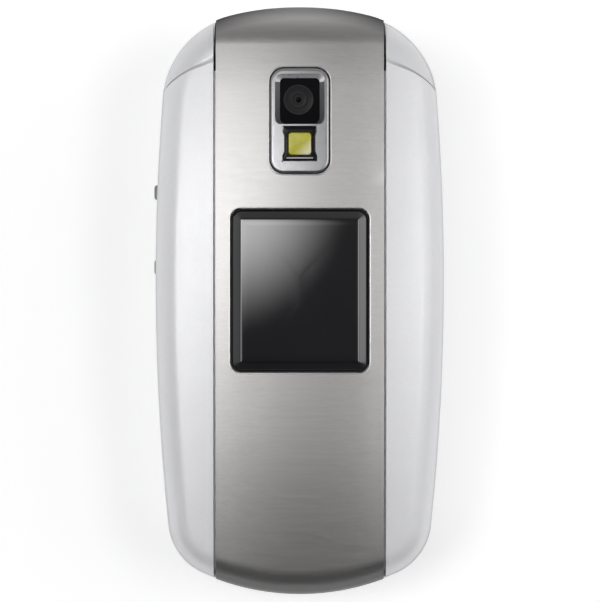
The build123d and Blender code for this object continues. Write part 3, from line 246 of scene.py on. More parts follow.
class Finish:
    """A Principled material whose patterns all start from Object coordinates."""

    def __init__(self, name, roughness, metallic=0.0, **sockets):
        self.material = bpy.data.materials.new(name)
        self.material.use_nodes = True
        self.tree = self.material.node_tree
        self.shader = self.tree.nodes["Principled BSDF"]
        self.shader.inputs["Roughness"].default_value = roughness
        self.shader.inputs["Metallic"].default_value = metallic
        for socket, value in sockets.items():
            self.shader.inputs[socket.replace("_", " ")].default_value = value
        self.place = self.tree.nodes.new("ShaderNodeTexCoord").outputs["Object"]

    def put(self, kind, settings=None, **inputs):
        """Adds a node to the material."""
        return put(self.tree, kind, settings, **inputs)

    def operate(self, operation, *values):
        """Result of a Math node in the material."""
        return operate(self.tree, operation, *values)

    def part(self, vector, axis):
        """One coordinate of a vector, by its letter."""
        return self.put("ShaderNodeSeparateXYZ", Vector=vector).outputs[axis]

    def counted_from(self, point):
        """Object coordinates counted from a point."""
        return combine(self.tree, "SUBTRACT", self.place, tuple(point))

    def plan_length(self, vector):
        """Length of a vector seen from above."""
        return combine(self.tree, "LENGTH", combine(self.tree, "MULTIPLY", vector, (1, 1, 0)), output="Value")

    def noise(self, scale, detail=2.0, stretch=(1, 1, 1)):
        """Noise of so many cells to the metre, drawn out along the axes with a small stretch."""
        place = self.put("ShaderNodeMapping", Vector=self.place, Scale=stretch).outputs["Vector"]
        return self.put("ShaderNodeTexNoise", Vector=place, Scale=scale, Detail=detail).outputs["Fac"]

    def levels(self, value, low, high, first=0.0, second=1.0):
        """Value between low and high, spread from first to second and clamped."""
        node = self.put("ShaderNodeMapRange", i0=value, i1=low, i2=high, i3=first, i4=second)
        return node.outputs["Result"]

    def mixed(self, factor, first, second):
        """Colour between two colours or sockets."""
        pair = [c if isinstance(c, bpy.types.NodeSocket) else (*c[:3], 1.0) for c in (first, second)]
        node = self.put("ShaderNodeMix", {"data_type": "RGBA"}, i0=factor, i6=pair[0], i7=pair[1])
        return node.outputs[2]

    def coloured(self, socket):
        """Sets the base colour."""
        self.tree.links.new(socket, self.shader.inputs["Base Color"])
        return self

    def uneven(self, value, low, high):
        """Roughness that follows a pattern."""
        self.tree.links.new(self.levels(value, 0.3, 0.7, low, high), self.shader.inputs["Roughness"])
        return self

    def bumped(self, height, strength, depth):
        """Surface relief."""
        bump = self.put("ShaderNodeBump", Strength=strength, Distance=depth, Height=height)
        self.tree.links.new(bump.outputs["Normal"], self.shader.inputs["Normal"])
        return self


def shade(colour, factor):
    """A colour made lighter or darker."""
    return tuple(min(c * factor, 1.0) for c in colour[:3])


def moulded(name, colour, roughness, grain=6000, relief=0.15, metallic=0.0, **sockets):
    """Plain moulded or painted surface: faint mottling, fine grain and slightly uneven gloss."""
    made = Finish(name, roughness, metallic, **sockets)
    cloud = made.noise(300, 3)
    made.coloured(made.mixed(made.levels(cloud, 0.35, 0.65), shade(colour, 0.97), shade(colour, 1.03)))
    made.uneven(made.noise(grain / 3), max(roughness - 0.05, 0.02), min(roughness + 0.06, 1.0))
    return made.bumped(made.noise(grain), relief, 0.01 * MM).material


def polished(name, colour, roughness, scratch=0.03):
    """Bright metal with faint rubbing marks."""
    made = Finish(name, roughness, 1.0)
    rub = made.noise(2500, 4, (1, 0.5, 1))
    made.coloured(made.mixed(made.levels(rub, 0.35, 0.7), shade(colour, 0.93), colour))
    made.uneven(rub, roughness, roughness + 0.08)
    return made.bumped(rub, scratch, 0.005 * MM).material


# Painted shade: stretches of the band painted darker towards an end, in place of the darker reflections where
# it
# bends away: where the change starts, where it is full, and the share of the colour left there
PAINTED_SHADE_FADES = ((-20 * MM, -39 * MM, 0.76), (HINGE[1] - 6 * MM, HINGE[1] + 0.5 * MM, 0.82))
# Painted shade: dark rims painted on the band's turned-down ends, in place of their darker reflections: side
# of the end, radius of its arc, how far inside the arc the rim starts and is full, and the share of the
# colour left there
PAINTED_SHADE_RIMS = ((-1, FOOT_R, 2.8 * MM, 0.6 * MM, 0.24), (1, HEAD_R, 2.0 * MM, 0.1 * MM, 0.15))
PAINTED_RIM_EASE = 5 * MM  # stretch beyond an arc's centre over which its rim sets in


def brushed(name, colour):
    """Band metal rubbed across its width: long fine hairlines along X that spread light along the phone.

    Painted shade: its colour darkens little by little towards the foot and over the barrel, in place of
    darker reflections where it bends away. Its turned-down ends are painted darker still: there the distance
    from an end arc's centre nears its radius."""
    made = Finish(name, 0.3, 1.0)
    hairs = made.noise(1.0, 3, (60, 9000, 9000))
    streaks = made.noise(1.0, 2, (25, 1800, 1800))
    marks = made.levels(made.operate("MULTIPLY_ADD", streaks, 0.4, hairs), 0.5, 0.95)

    def rubbed(share):
        """Hairlines in a share of the colour; a share under one is painted shade."""
        return made.mixed(marks, shade(colour, 0.93 * share), shade(colour, 1.05 * share))

    metal = rubbed(1.0)
    along = made.part(made.place, "Y")
    # Painted shade: darker towards the foot and over the barrel
    for start, stop, share in PAINTED_SHADE_FADES:
        metal = made.mixed(made.levels(along, start, stop), metal, rubbed(share))
    # Painted shade: darker rims at the band's turned-down ends
    for end, radius, reach, full, share in PAINTED_SHADE_RIMS:
        shift = made.counted_from((0, solid_box[end > 0].y - end * radius, 0))
        rim = made.levels(made.plan_length(shift), radius - reach, radius - full)
        beyond = made.levels(made.part(shift, "Y"), 0.0, end * PAINTED_RIM_EASE)
        metal = made.mixed(made.operate("MULTIPLY", rim, beyond), metal, shade(colour, share))
    made.coloured(metal)
    made.uneven(hairs, 0.37, 0.45)
    return made.bumped(hairs, 0.3, 0.006 * MM).material


def pearl_paint(name, colour):
    """Silver pearl paint: a bright base, fine flakes that catch the light, and a clear coat."""
    made = Finish(name, 0.42, 0.25, Coat_Weight=0.3, Coat_Roughness=0.12)
    cells = made.put("ShaderNodeTexVoronoi", Vector=made.place, Scale=9000).outputs["Color"]
    flake = made.put("ShaderNodeSeparateColor", Color=cells).outputs["Red"]
    cloud = made.noise(120, 2)
    base = made.mixed(made.levels(cloud, 0.3, 0.7), shade(colour, 0.98), shade(colour, 1.01))
    made.coloured(made.mixed(made.levels(flake, 0.0, 1.0, 0.0, 0.12), base, (0.62, 0.64, 0.70)))
    made.uneven(flake, 0.36, 0.5)
    return made.bumped(flake, 0.05, 0.004 * MM).material


def gloss_black(name, colour, roughness=0.03, mirror=1.88):
    """Black window plastic under a hard clear face, with a faint swell and a trace of dust."""
    made = Finish(name, roughness, 0.0, IOR=mirror)
    cloud = made.noise(150, 2)
    made.coloured(made.mixed(made.levels(cloud, 0.3, 0.7), shade(colour, 0.8), shade(colour, 1.3)))
    made.uneven(made.noise(4000), roughness, roughness + 0.03)
    return made.bumped(cloud, 0.02, 0.02 * MM).material


def printed_board(name):
    """Circuit board: green lacquer over tracks, with rows of gold pads."""
    made = Finish(name, 0.35, 0.0, Coat_Weight=0.6, Coat_Roughness=0.2)
    tracks = made.put("ShaderNodeTexBrick", Vector=made.place, Scale=900, Mortar_Size=0.06)
    tracks.inputs["Color1"].default_value = (0.02, 0.16, 0.07, 1)
    tracks.inputs["Color2"].default_value = (0.03, 0.20, 0.09, 1)
    tracks.inputs["Mortar"].default_value = (0.05, 0.30, 0.14, 1)
    dots = made.put("ShaderNodeTexVoronoi", {"feature": "F1"}, Vector=made.place, Scale=450)
    pads = made.levels(dots.outputs["Distance"], 0.12, 0.16, 1.0, 0.0)
    made.coloured(made.mixed(pads, tracks.outputs["Color"], (0.75, 0.55, 0.2)))
    return made.bumped(tracks.outputs["Fac"], 0.1, 0.02 * MM).material


def display_panel(name, colour):
    """Switched-off display: fine pixel rows under a glossy polariser."""
    made = Finish(name, 0.12, 0.0, Coat_Weight=1.0, Coat_Roughness=0.03)
    rows = made.put("ShaderNodeTexWave", {"bands_direction": "Y"}, Vector=made.place, Scale=2000)
    made.coloured(made.mixed(rows.outputs["Fac"], shade(colour, 0.85), shade(colour, 1.1)))
    return made.bumped(made.noise(400), 0.03, 0.01 * MM).material


def dome_film(name):
    """Clear film over metal domes: a pale sheet that turns silver towards the tops of the domes."""
    made = Finish(name, 0.3, 0.0)
    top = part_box("dome_sheet")[1].z
    height = made.levels(made.part(made.place, "Z"), top - 0.2 * MM, top)
    made.coloured(made.mixed(height, (0.62, 0.64, 0.58), (0.85, 0.84, 0.80)))
    made.uneven(made.noise(3000), 0.22, 0.36)
    return made.bumped(made.noise(5000), 0.1, 0.01 * MM).material


def battery_wrap(name):
    """Dark plastic pack with a paler plain band round its middle."""
    made = Finish(name, 0.4, 0.0)
    half_band = 12 * MM
    near = made.operate("COMPARE", made.part(made.place, "Y"), centre_of("battery").y, half_band)
    speck = made.noise(4000, 3)
    dark = made.mixed(speck, (0.02, 0.02, 0.025), (0.05, 0.05, 0.06))
    pale = made.mixed(speck, (0.20, 0.21, 0.24), (0.26, 0.27, 0.30))
    made.coloured(made.mixed(near, dark, pale))
    return made.bumped(speck, 0.2, 0.01 * MM).material


# Grey of the lens at each share of its radius
LENS_GREYS = ((0.21, 0.028), (0.42, 0.026), (0.47, 0.045), (0.53, 0.022), (0.93, 0.028), (0.97, 0.045))


def lens_look(name, middle, outer):
    """Camera glass: dark rings about the lens axis, paler near the rim of the barrel."""
    made = Finish(name, 0.12, 0.0, IOR=1.12)
    reach = made.plan_length(made.counted_from(middle))
    ramp = made.put("ShaderNodeValToRGB", Fac=made.levels(reach, 0.0, outer))
    stops = ramp.color_ramp.elements
    stops[0].position, stops[0].color = 0.17, (0.002, 0.002, 0.003, 1)
    stops[1].position, stops[1].color = 1.0, (0.026, 0.026, 0.028, 1)
    for position, level in LENS_GREYS:
        stops.new(position).color = (level, level, level * 1.05, 1)
    made.coloured(ramp.outputs["Color"])
    return made.bumped(made.noise(300), 0.02, 0.01 * MM).material


def flash_resin(name, colour):
    """Yellow-green flash: a phosphor square showing through clear resin, with a pale highlight painted
    towards one corner.
    """
    made = Finish(name, 0.3, 0.0, Coat_Weight=0.3, Coat_Roughness=0.1)
    shift = made.counted_from(centre_of("flash_led"))
    lean = made.operate("SUBTRACT", made.part(shift, "X"), made.part(shift, "Y"))
    # Painted highlight: a pale yellow patch towards the lower right corner
    painted_highlight = made.levels(lean, 0.4 * MM, 2.6 * MM)
    cloud = made.noise(1400, 2)
    green = made.mixed(cloud, shade(colour, 0.75), shade(colour, 1.15))
    made.coloured(made.mixed(painted_highlight, green, (0.90, 0.86, 0.58)))
    return made.bumped(cloud, 0.4, 0.05 * MM).material


# ---------------------------------------------------------------- making pieces


CORNER_POINTS, SIDE_POINTS = 10, 14  # of a rounded rectangle, if nothing else is said


def rounded_loop(low, high, radii, corner=CORNER_POINTS, side=SIDE_POINTS):
    """Rectangle between two corners with rounded corners: quarter circles joined by evenly divided sides.

    radii is one value, or those of the upper and the lower corners."""
    upper, lower = radii if isinstance(radii, tuple) else (radii, radii)
    bend = np.array([upper, upper, lower, lower])[:, None]
    turn = np.arange(4)[:, None] * pi / 2 + np.linspace(0, pi / 2, corner)[None, :]
    tips = np.array([(high[0], high[1]), (low[0], high[1]), (low[0], low[1]), (high[0], low[1])])
    inward = np.array([(-1, -1), (1, -1), (1, 1), (-1, 1)])
    middles = tips + inward * bend
    arcs = middles[:, None, :] + bend[:, :, None] * np.stack([np.cos(turn), np.sin(turn)], axis=-1)
    starts = arcs[:, -1, :]
    ends = np.roll(arcs[:, 0, :], -1, axis=0)
    steps = np.linspace(0, 1, side + 2)[1:-1][None, :, None]
    sides = starts[:, None, :] + (ends - starts)[:, None, :] * steps
    return np.concatenate([arcs, sides], axis=1).reshape(-1, 2)


def on_crown(loop, offset):
    """Loop of plan points lifted to the crown's face at an offset from it."""
    return np.column_stack([loop, crown(loop[:, 0], loop[:, 1], offset)])


def inset(low, high, amount):
    """Corners of a rectangle moved in on every side."""
    return (low[0] + amount, low[1] + amount), (high[0] - amount, high[1] - amount)


def plan(node, grow=0.0):
    """Corners of a solid's box in plan, grown on every side."""
    low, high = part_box(node)
    return (low.x - grow, low.y - grow), (high.x + grow, high.y + grow)


def loft(name, rings, closed=False):
    """Mesh of quads between rings of points (rings, points, 3); open ends are capped with one face."""
    count, around = rings.shape[:2]
    index = np.arange(count * around).reshape(count, around)
    first = index if closed else index[:-1]
    second = np.roll(index, -1, axis=0) if closed else index[1:]
    quads = np.stack([first, np.roll(first, -1, 1), np.roll(second, -1, 1), second], axis=-1).reshape(-1, 4)
    faces = quads.tolist()
    if not closed:
        faces += [index[0][::-1].tolist(), index[-1].tolist()]
    mesh = bpy.data.meshes.new(name)
    mesh.from_pydata(rings.reshape(-1, 3).tolist(), [], faces)
    return mesh


def tidy(mesh, angle=radians(35), merge=0.0):
    """Faces outward, smooth shading, and a crease wherever faces meet at more than the angle."""
    work = bmesh.new()
    work.from_mesh(mesh)
    if merge:
        bmesh.ops.remove_doubles(work, verts=work.verts, dist=merge)
    bmesh.ops.recalc_face_normals(work, faces=work.faces)
    for face in work.faces:
        face.smooth = True
    for edge in work.edges:
        edge.smooth = len(edge.link_faces) == 2 and edge.calc_face_angle(0) < angle
    work.to_mesh(mesh)
    work.free()
    return mesh


def placed(name, mesh, material, body, slot, *nodes):
    """Object from a finished mesh that moves with a body and stands for solids."""
    made = bpy.data.objects.new(name, mesh)
    bpy.context.scene.collection.objects.link(made)
    mesh.materials.clear()
    mesh.materials.append(material)
    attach(made, body)
    if nodes:
        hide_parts(*nodes)
    return made


def dressed(node, material, angle=radians(28)):
    """Smooth copy of a solid's mesh with a finish, in the solid's place."""
    source = frame["nodes"][node]
    mesh = source.data.copy()
    mesh.name = f"{node}_skin"
    tidy(mesh, angle, 0.0005 * MM)
    return placed(f"{node}_finished", mesh, material, source["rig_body"], SLOT_OF[node], node)


# ---------------------------------------------------------------- pieces of the lid's outside


def window_rings(settings):
    """Window: wall up to the sunk edge, a long straight slope, a small rounding, and the crowned face.

    Each ring is the outline moved in by a distance; its height is the crown's at an offset that
    rises along the slope and then stays."""
    low, high = plan("outer_window")
    top = BAND_PROUD + WINDOW_PROUD
    edge = BAND_PROUD - settings.sink
    rise = top - edge
    wide = settings.bevel
    wall, drop, chamfer, sag = 0.4 * MM, 0.05 * MM, 0.04 * MM, 0.012 * MM
    steps = [(0.0, edge - wall), (0.0, edge - drop), (chamfer, edge)]
    steps += [(wide * share, edge + rise * share) for share in (0.25, 0.5, 0.75, 0.93)]
    steps += [(wide, top - sag), (wide * 1.06, top)]
    steps += [(wide + reach * MM, top) for reach in (1, 2.5, 4, 5.5, 7, 8.4)]
    least = 0.06 * MM
    rings = []
    for inwards, offset in steps:
        corner = max(settings.corner - 1.05 * inwards, least)
        rings.append(on_crown(rounded_loop(*inset(low, high, inwards), corner), offset))
    return np.array(rings)


SEAT_GAP = 0.12 * MM  # between a seat in the band and the piece in it
# Width, height, and depth under the band's face of the two low beads round a seat; the second, black, is
# painted shade in the gap
SEAT_BEAD = (0.16 * MM, 0.06 * MM, 0.01 * MM)
GAP_SHADE_BEAD = (0.3 * MM, 0.05 * MM, 0.35 * MM)


def bead(low, high, radius, width, height, depth):
    """Low half-round bead on the band round a rounded rectangle: a half circle carried along the outline."""
    rings = []
    for turn in np.linspace(0, pi, 7):
        out = width / 2 * (1 - np.cos(turn))
        loop = rounded_loop(*inset(low, high, -out), radius + out)
        rings.append(on_crown(loop, BAND_PROUD - depth + height * np.sin(turn)))
    return np.array(rings)


def seat_edge(name, seat, radius, metal):
    """Turned-up edge of the band round a seat, and a black bead deep in the gap inside it as painted shade.
    """
    rings = bead(*seat, radius, *SEAT_BEAD)
    placed(f"{name}_seat_bead", tidy(loft(f"{name}_seat", rings, closed=True)), metal, "lid", "band")
    # Painted shade: a black bead at the bottom of the seat's gap, which is dark only from shade
    rings = bead(*inset(*seat, GAP_SHADE_BEAD[0]), radius, *GAP_SHADE_BEAD)
    black = moulded(f"{name}_gap_shade_black", (0.01, 0.01, 0.01), 0.8, 4000, 0.1)
    placed(f"{name}_gap_shade", tidy(loft(f"{name}_gap_shade", rings, closed=True)), black, "lid", "band")


# Where the skin over the band's bend starts, leaves the crown and lands on the barrel, along the phone
BEND_START, BRINK, LANDING = HINGE[1] - 2.0 * MM, HINGE[1] - 0.18 * MM, HINGE[1] + 0.97 * MM
SKIN = 0.2 * MM  # its thickness
SKIN_EDGE = 0.02 * MM  # how far it stays inside the band's edges
SKIN_SINK = 0.005 * MM  # how far it lies under the band's face, so that it shows only where the band dips


def bend_rings():
    """Skin that eases the band's crown into the barrel.

    Each row runs across the band at one distance along the phone. Its height is the crown's up to the
    brink, then a straight chord to the barrel, and its underside lies lower by the skin's thickness."""
    x = np.linspace(-1, 1, 61) * (size_of("lid_band").x / 2 - SKIN_EDGE)
    y = np.concatenate([np.linspace(BEND_START, BRINK, 6), np.linspace(BRINK, LANDING, 5)[1:]])
    x, y = np.meshgrid(x, y)
    share = (y - BRINK) / (LANDING - BRINK)
    start, end = crown(x, BRINK, BAND_PROUD), barrel(x, LANDING, BAND_PROUD)
    height = np.where(share > 0, start + (end - start) * share, crown(x, y, BAND_PROUD)) - SKIN_SINK
    top = np.stack([x, y, height], axis=-1)
    return np.concatenate([top, top[:, ::-1] - (0, 0, SKIN)], axis=1)


COLLAR_R = (3.0 * MM, 4.45 * MM)  # inner and outer radius of the collars beside the barrel
COLLAR_CLEAR, COLLAR_WIDTH = 0.04 * MM, 0.16 * MM


def collar_rings(side):
    """Dark ring in the joint between the barrel and a shoulder: a rectangle turned about the hinge axis."""
    near = side * (size_of("lid_band").x / 2 + COLLAR_CLEAR)
    far = near + side * COLLAR_WIDTH
    turn = np.linspace(0, 2 * pi, 72, endpoint=False)[:, None]
    radius = np.array([*COLLAR_R, *COLLAR_R[::-1]])
    y, z = HINGE[1] + radius * np.cos(turn), HINGE[2] + radius * np.sin(turn)
    return np.stack([np.broadcast_to([near, near, far, far], y.shape), y, z], axis=-1)


SEAM_R = 0.2 * MM  # a half of the camera frame has smaller corners than this where it meets the other half


def frame_rings(low, high, corners, opening, opening_corner, slope, foot, settings, pinch=0.0):
    """Half of the camera frame: outer wall, rounded lip, crest, slope towards the opening, and its wall.

    Each ring is a rounded rectangle between the outer outline and the opening; the slope's outer
    outline is the opening grown by its own amount on each side, and it ends level at its foot."""
    crest = crest_offset("camera_bezel")
    (left, bottom), (right, top) = opening
    outer = ((left - slope[0], bottom - slope[2]), (right + slope[0], top + slope[1]))
    rounding = (opening_corner[0] + min(slope[0], slope[1]) * 0.9, opening_corner[1])
    skirt, wall, least = 1.0 * MM, 0.5 * MM, 0.04 * MM
    brink_in, brink_down = 0.06 * MM, 0.05 * MM
    rings = [on_crown(rounded_loop(low, high, corners), BAND_PROUD - skirt)]
    for turn in np.linspace(0, pi / 2, 6):
        in_by = settings.lip * (1 - np.cos(turn))
        corner = tuple(max(c - in_by, least) for c in corners)
        side = tuple(np.array(pair) for pair in inset(low, high, in_by))
        if corners[1] < SEAM_R:
            side[0][1] = low[1]
        if corners[0] < SEAM_R:
            side[1][1] = high[1]
        rings.append(on_crown(rounded_loop(*side, corner), crest - settings.lip * (1 - np.sin(turn))))
    last = rings[-1][:, :2]
    inner = pinched(rounded_loop(*inset(*outer, -brink_in), rounding), *opening, pinch)
    rings += [on_crown(last + (inner - last) * share, crest) for share in np.linspace(0.15, 1, 7)]
    brink = pinched(rounded_loop(*outer, rounding), *opening, pinch)
    rings.append(on_crown(brink, crest - brink_down))
    edge = pinched(rounded_loop(*opening, opening_corner), *opening, pinch)
    rings += [np.column_stack([edge, np.full(len(edge), level)]) for level in (foot, foot - wall)]
    return np.array(rings)


def lining_rings(brink, foot, first, last):
    """Thin lining of some of the pocket's walls, which carries the shade and light painted on them.

    A flat four-sided section stands at the points from the first to the last of the walls' upper and
    lower outlines, which start at the upper right corner and go round by the top, the left side and
    the bottom."""
    way = np.arange(first, last + 1) % len(brink)
    up, down = np.array([0, 0, 0.025 * MM]), np.array([0, 0, 0.075 * MM])
    section = (brink[way] + up, foot[way] + up, foot[way] - down, brink[way] - down)
    return np.stack(section, axis=1)


def crest_offset(node):
    """Offset from the crown of the highest point of a solid on the centre line."""
    low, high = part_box(node)
    reach = max(low.y, CROWN_Y)
    return high.z - float(crown(np.array(0.0), np.array(reach), 0.0))


def lens_rings(middle, radius, top):
    """Lens behind its cover: a profile of radius and height turned about the lens axis.

    From the rim inwards it steps down to a ring, dips towards the middle and ends in a small dome."""
    share = np.array([1.0, 1.0, 0.95, 0.9, 0.56, 0.5, 0.44, 0.3, 0.2, 0.1, 0.02])
    drop = np.array([0.30, 0.0, 0.0, 0.03, 0.06, 0.04, 0.07, 0.10, 0.09, 0.07, 0.07]) * MM
    turn = np.linspace(0, 2 * pi, 96, endpoint=False)
    x = middle[0] + radius * share[:, None] * np.cos(turn)
    y = middle[1] + radius * share[:, None] * np.sin(turn)
    z = np.repeat((top - drop)[:, None], len(turn), axis=1)
    return np.stack([x, y, z], axis=-1)


def pinched(loop, low, high, pinch):
    """Outline whose two upright sides draw in between the corners, by a smooth bump of the height."""
    middle, reach = (low[1] + high[1]) / 2, (high[1] - low[1]) / 2
    away = np.clip((abs(loop[:, 1] - middle) / reach - 0.5) / 0.2, 0, 1)
    inwards = np.sign(loop[:, 0] - (low[0] + high[0]) / 2) * pinch * (1 - away**2 * (3 - 2 * away))
    return loop - np.column_stack([inwards, np.zeros(len(loop))])


def plate_rings(low, high, corners, levels, insets, pinch=0.0):
    """Small plate: its outline moved in by each inset, pinched, and set at each level."""
    rings = []
    for level, inwards in zip(levels, insets):
        loop = pinched(rounded_loop(*inset(low, high, inwards), corners), low, high, pinch)
        rings.append(np.column_stack([loop, np.full(len(loop), level)]))
    return np.array(rings)


# ---------------------------------------------------------------- operators


class PHONE_OT_housings(bpy.types.Operator):
    """Gives the painted housing and the brushed band their finishes on smooth copies of the solids."""

    bl_idname = "phone.housings"
    bl_label = "Housings"

    def execute(self, context):
        paint = context.scene.phone_paint
        pearl = pearl_paint("pearl_paint", paint.pearl)
        dressed("lid_outer_shell", pearl)
        silver = pearl_paint("base_paint", shade(paint.pearl, 0.9))
        for node in ("base_front_cover", "base_rear_cover", "battery_cover"):
            dressed(node, silver)
        # The band's finish carries painted shade towards its ends
        metal = brushed("brushed_band_painted_shade", paint.band)
        dressed("lid_band", metal, radians(14))
        placed("band_bend", tidy(loft("band_bend", bend_rings())), metal, "lid", "band")
        black = moulded("collar_black", (0.015, 0.015, 0.015), 0.7, 4000, 0.1)
        for side, name in ((-1, "left"), (1, "right")):
            mesh = tidy(loft(f"barrel_collar_{name}", collar_rings(side), closed=True))
            placed(f"barrel_collar_{name}", mesh, black, "lid", "band")
        dressed("lid_inner_cover", moulded("satin_silver", shade(paint.pearl, 0.85), 0.38))
        return {"FINISHED"}


class PHONE_OT_window(bpy.types.Operator):
    """Outer display's window with its wide bevel, the bead round its seat, and the inner window."""

    bl_idname = "phone.window"
    bl_label = "Windows"

    def execute(self, context):
        settings = context.scene.phone_window
        glass = gloss_black("window_black", (0.006, 0.006, 0.008))
        mesh = tidy(loft("window_glass", window_rings(settings)), radians(12))
        placed("window_bevelled", mesh, glass, "lid", "black_glass", "outer_window")
        seat = plan("outer_window", SEAT_GAP)
        seat_edge("window", seat, settings.corner, polished("window_bead_metal", (0.82, 0.82, 0.82), 0.3))
        dressed("main_window", gloss_black("inner_window_black", (0.01, 0.01, 0.012), 0.04, 1.4))
        return {"FINISHED"}


PINCH = 0.26 * MM  # how far the flash opening's sides draw in between its corners
CAMERA_CORNERS = (0.6 * MM, 1.0 * MM)  # upper and lower corners of the camera's opening and cover
FRAME_CORNER, SEAM_CORNER = 2.05 * MM, 0.06 * MM  # corners of the frame's ends, and at its halves' seam
LENS_SHIFT = 0.2 * MM  # the lens sits so far left of and above the middle of its cover
ROOF_LAST = 2 * CORNER_POINTS + SIDE_POINTS - 1  # last point of the pocket's upper wall with its corners


class PHONE_OT_camera(bpy.types.Operator):
    """Bright frame round camera and flash, the camera's cover and lens, and the flash."""

    bl_idname = "phone.camera"
    bl_label = "Camera and flash"

    def execute(self, context):
        settings = context.scene.phone_camera
        bright = polished("frame_chrome", (0.41, 0.41, 0.42), 0.27, 0.01)
        low, high = plan("camera_bezel", -0.07 * MM)
        camera, flash = plan("camera_window", 0.02 * MM), plan("flash_frame", 0.02 * MM)
        camera_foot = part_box("camera_window")[1].z - 0.03 * MM
        flash_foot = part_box("flash_frame")[1].z - 0.03 * MM
        bar = (camera[0][1] + flash[1][1]) / 2
        slope = (settings.flare, 0.55 * MM, 0.02 * MM)  # beside, above and below the camera's opening
        flat = (0.12 * MM, 0.05 * MM, 0.05 * MM)  # the same of the flash's
        square = (0.15 * MM, 0.15 * MM)
        corners = (FRAME_CORNER, SEAM_CORNER)
        upper = frame_rings(
            (low[0], bar), high, corners, camera, CAMERA_CORNERS, slope, camera_foot, settings,
        )
        lower = frame_rings(
            low, (high[0], bar), corners[::-1], flash, square, flat, flash_foot, settings, PINCH,
        )
        for name, rings, nodes in (("frame_upper", upper, ["camera_bezel"]), ("frame_lower", lower, [])):
            placed(name, tidy(loft(name, rings, closed=True)), bright, "lid", "chrome", *nodes)
        # Painted shade and light on the pocket's slopes: the side and lower walls lined dark grey, the upper
        # wall pale silver
        grey = moulded("pocket_painted_shade", (0.085, 0.085, 0.09), 0.45, 5000, 0.1)
        pale = moulded("pocket_painted_light", (0.40, 0.40, 0.41), 0.3, 5000, 0.1, 0.3)
        brink, foot = upper[-3], upper[-2]
        for name, look, first, last in (("walls", grey, ROOF_LAST, len(foot)), ("roof", pale, 0, ROOF_LAST)):
            mesh = tidy(loft(f"pocket_{name}", lining_rings(brink, foot, first, last)))
            placed(f"pocket_{name}", mesh, look, "lid", "black_glass")
        seat = plan("camera_bezel", SEAT_GAP)
        seat_edge("frame", seat, FRAME_CORNER, polished("frame_bead_metal", (0.62, 0.62, 0.62), 0.3))
        self.camera(settings)
        self.flash()
        return {"FINISHED"}

    def camera(self, settings):
        """Black cover with the lens showing in it."""
        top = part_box("camera_window")[1].z
        middle = centre_of("camera_window")
        black = gloss_black("camera_black", (0.003, 0.003, 0.004), 0.05, 1.1)
        levels = (top - 0.6 * MM, top - 0.06 * MM, top)
        rings = plate_rings(*plan("camera_window"), CAMERA_CORNERS, levels, (0, 0, 0.06 * MM))
        mesh = tidy(loft("camera_cover", rings))
        placed("camera_cover", mesh, black, "lid", "black_glass", "camera_window")
        axis = (middle.x - LENS_SHIFT, middle.y + LENS_SHIFT, 0)
        lens = lens_rings(axis, settings.lens, top + 0.12 * MM)
        glass = lens_look("lens_glass", axis, settings.lens)
        placed("camera_lens", tidy(loft("camera_lens", lens)), glass, "lid", "lens_barrel")

    def flash(self):
        """Pinched black frame, the light strip at its foot, and the domed lamp."""
        low, high = plan("flash_frame")
        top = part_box("flash_frame")[1].z
        black = gloss_black("flash_black", (0.012, 0.012, 0.012), 0.12, 1.2)
        levels = (top - 0.6 * MM, top - 0.03 * MM, top, top - 0.02 * MM, top - 0.6 * MM)
        lamp_low, lamp_high = plan("flash_led", 0.04 * MM)
        outer = plate_rings(low, high, 0.12 * MM, levels[:3], (0, 0, 0.05 * MM), PINCH)
        inner = plate_rings(lamp_low, lamp_high, 0.35 * MM, levels[3:], (0, 0))
        mesh = tidy(loft("flash_surround", np.concatenate([outer, inner]), closed=True))
        placed("flash_surround", mesh, black, "lid", "flash_black", "flash_frame")
        from_side, from_foot, deep = 0.45 * MM, 0.28 * MM, 0.22 * MM
        sill = ((low[0] + from_side, low[1] + from_foot), (high[0] - from_side, low[1] + from_foot + deep))
        bright = moulded("sill_grey", (0.42, 0.42, 0.44), 0.3)
        levels = (top - 0.1 * MM, top + 0.02 * MM, top + 0.05 * MM)
        rings = plate_rings(*sill, 0.05 * MM, levels, (0, 0, 0.04 * MM))
        placed("flash_sill", tidy(loft("flash_sill", rings)), bright, "lid", "flash_black")
        low, high = plan("flash_led")
        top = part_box("flash_led")[1].z
        levels = np.array([-0.9, -0.2, -0.08, -0.02, 0.0]) * MM + top
        insets = np.array([0, 0, 0.05, 0.14, 0.3]) * MM
        mesh = tidy(loft("flash_lamp", plate_rings(low, high, 0.5 * MM, levels, insets)))
        resin = flash_resin("flash_resin", (0.56, 0.53, 0.03))
        placed("flash_lamp", mesh, resin, "lid", "flash_led", "flash_led")


DIGIT_HEIGHT, LETTER_HEIGHT = 3.6 * MM, 1.5 * MM
# Small letters on the keys from 1 to 9
LETTERS = ("", "ABC", "DEF", "GHI", "JKL", "MNO", "PQRS", "TUV", "WXYZ")


def printed(name, text, place, height, ink, body, slot="keys"):
    """Flat legend: outlines of the characters filled and raised by the thickness of the ink."""
    curve = bpy.data.curves.new(name, "FONT")
    curve.body = text
    curve.size = height
    curve.extrude = 0.008 * MM
    curve.offset = 0.018 * height
    curve.align_x = "CENTER"
    curve.align_y = "CENTER"
    writing = bpy.data.objects.new(name, curve)
    bpy.context.scene.collection.objects.link(writing)
    ready = writing.evaluated_get(bpy.context.evaluated_depsgraph_get())
    mesh = bpy.data.meshes.new_from_object(ready)
    bpy.data.objects.remove(writing)
    mesh.transform(Matrix.Translation(place))
    return placed(name, mesh, ink, body, slot)


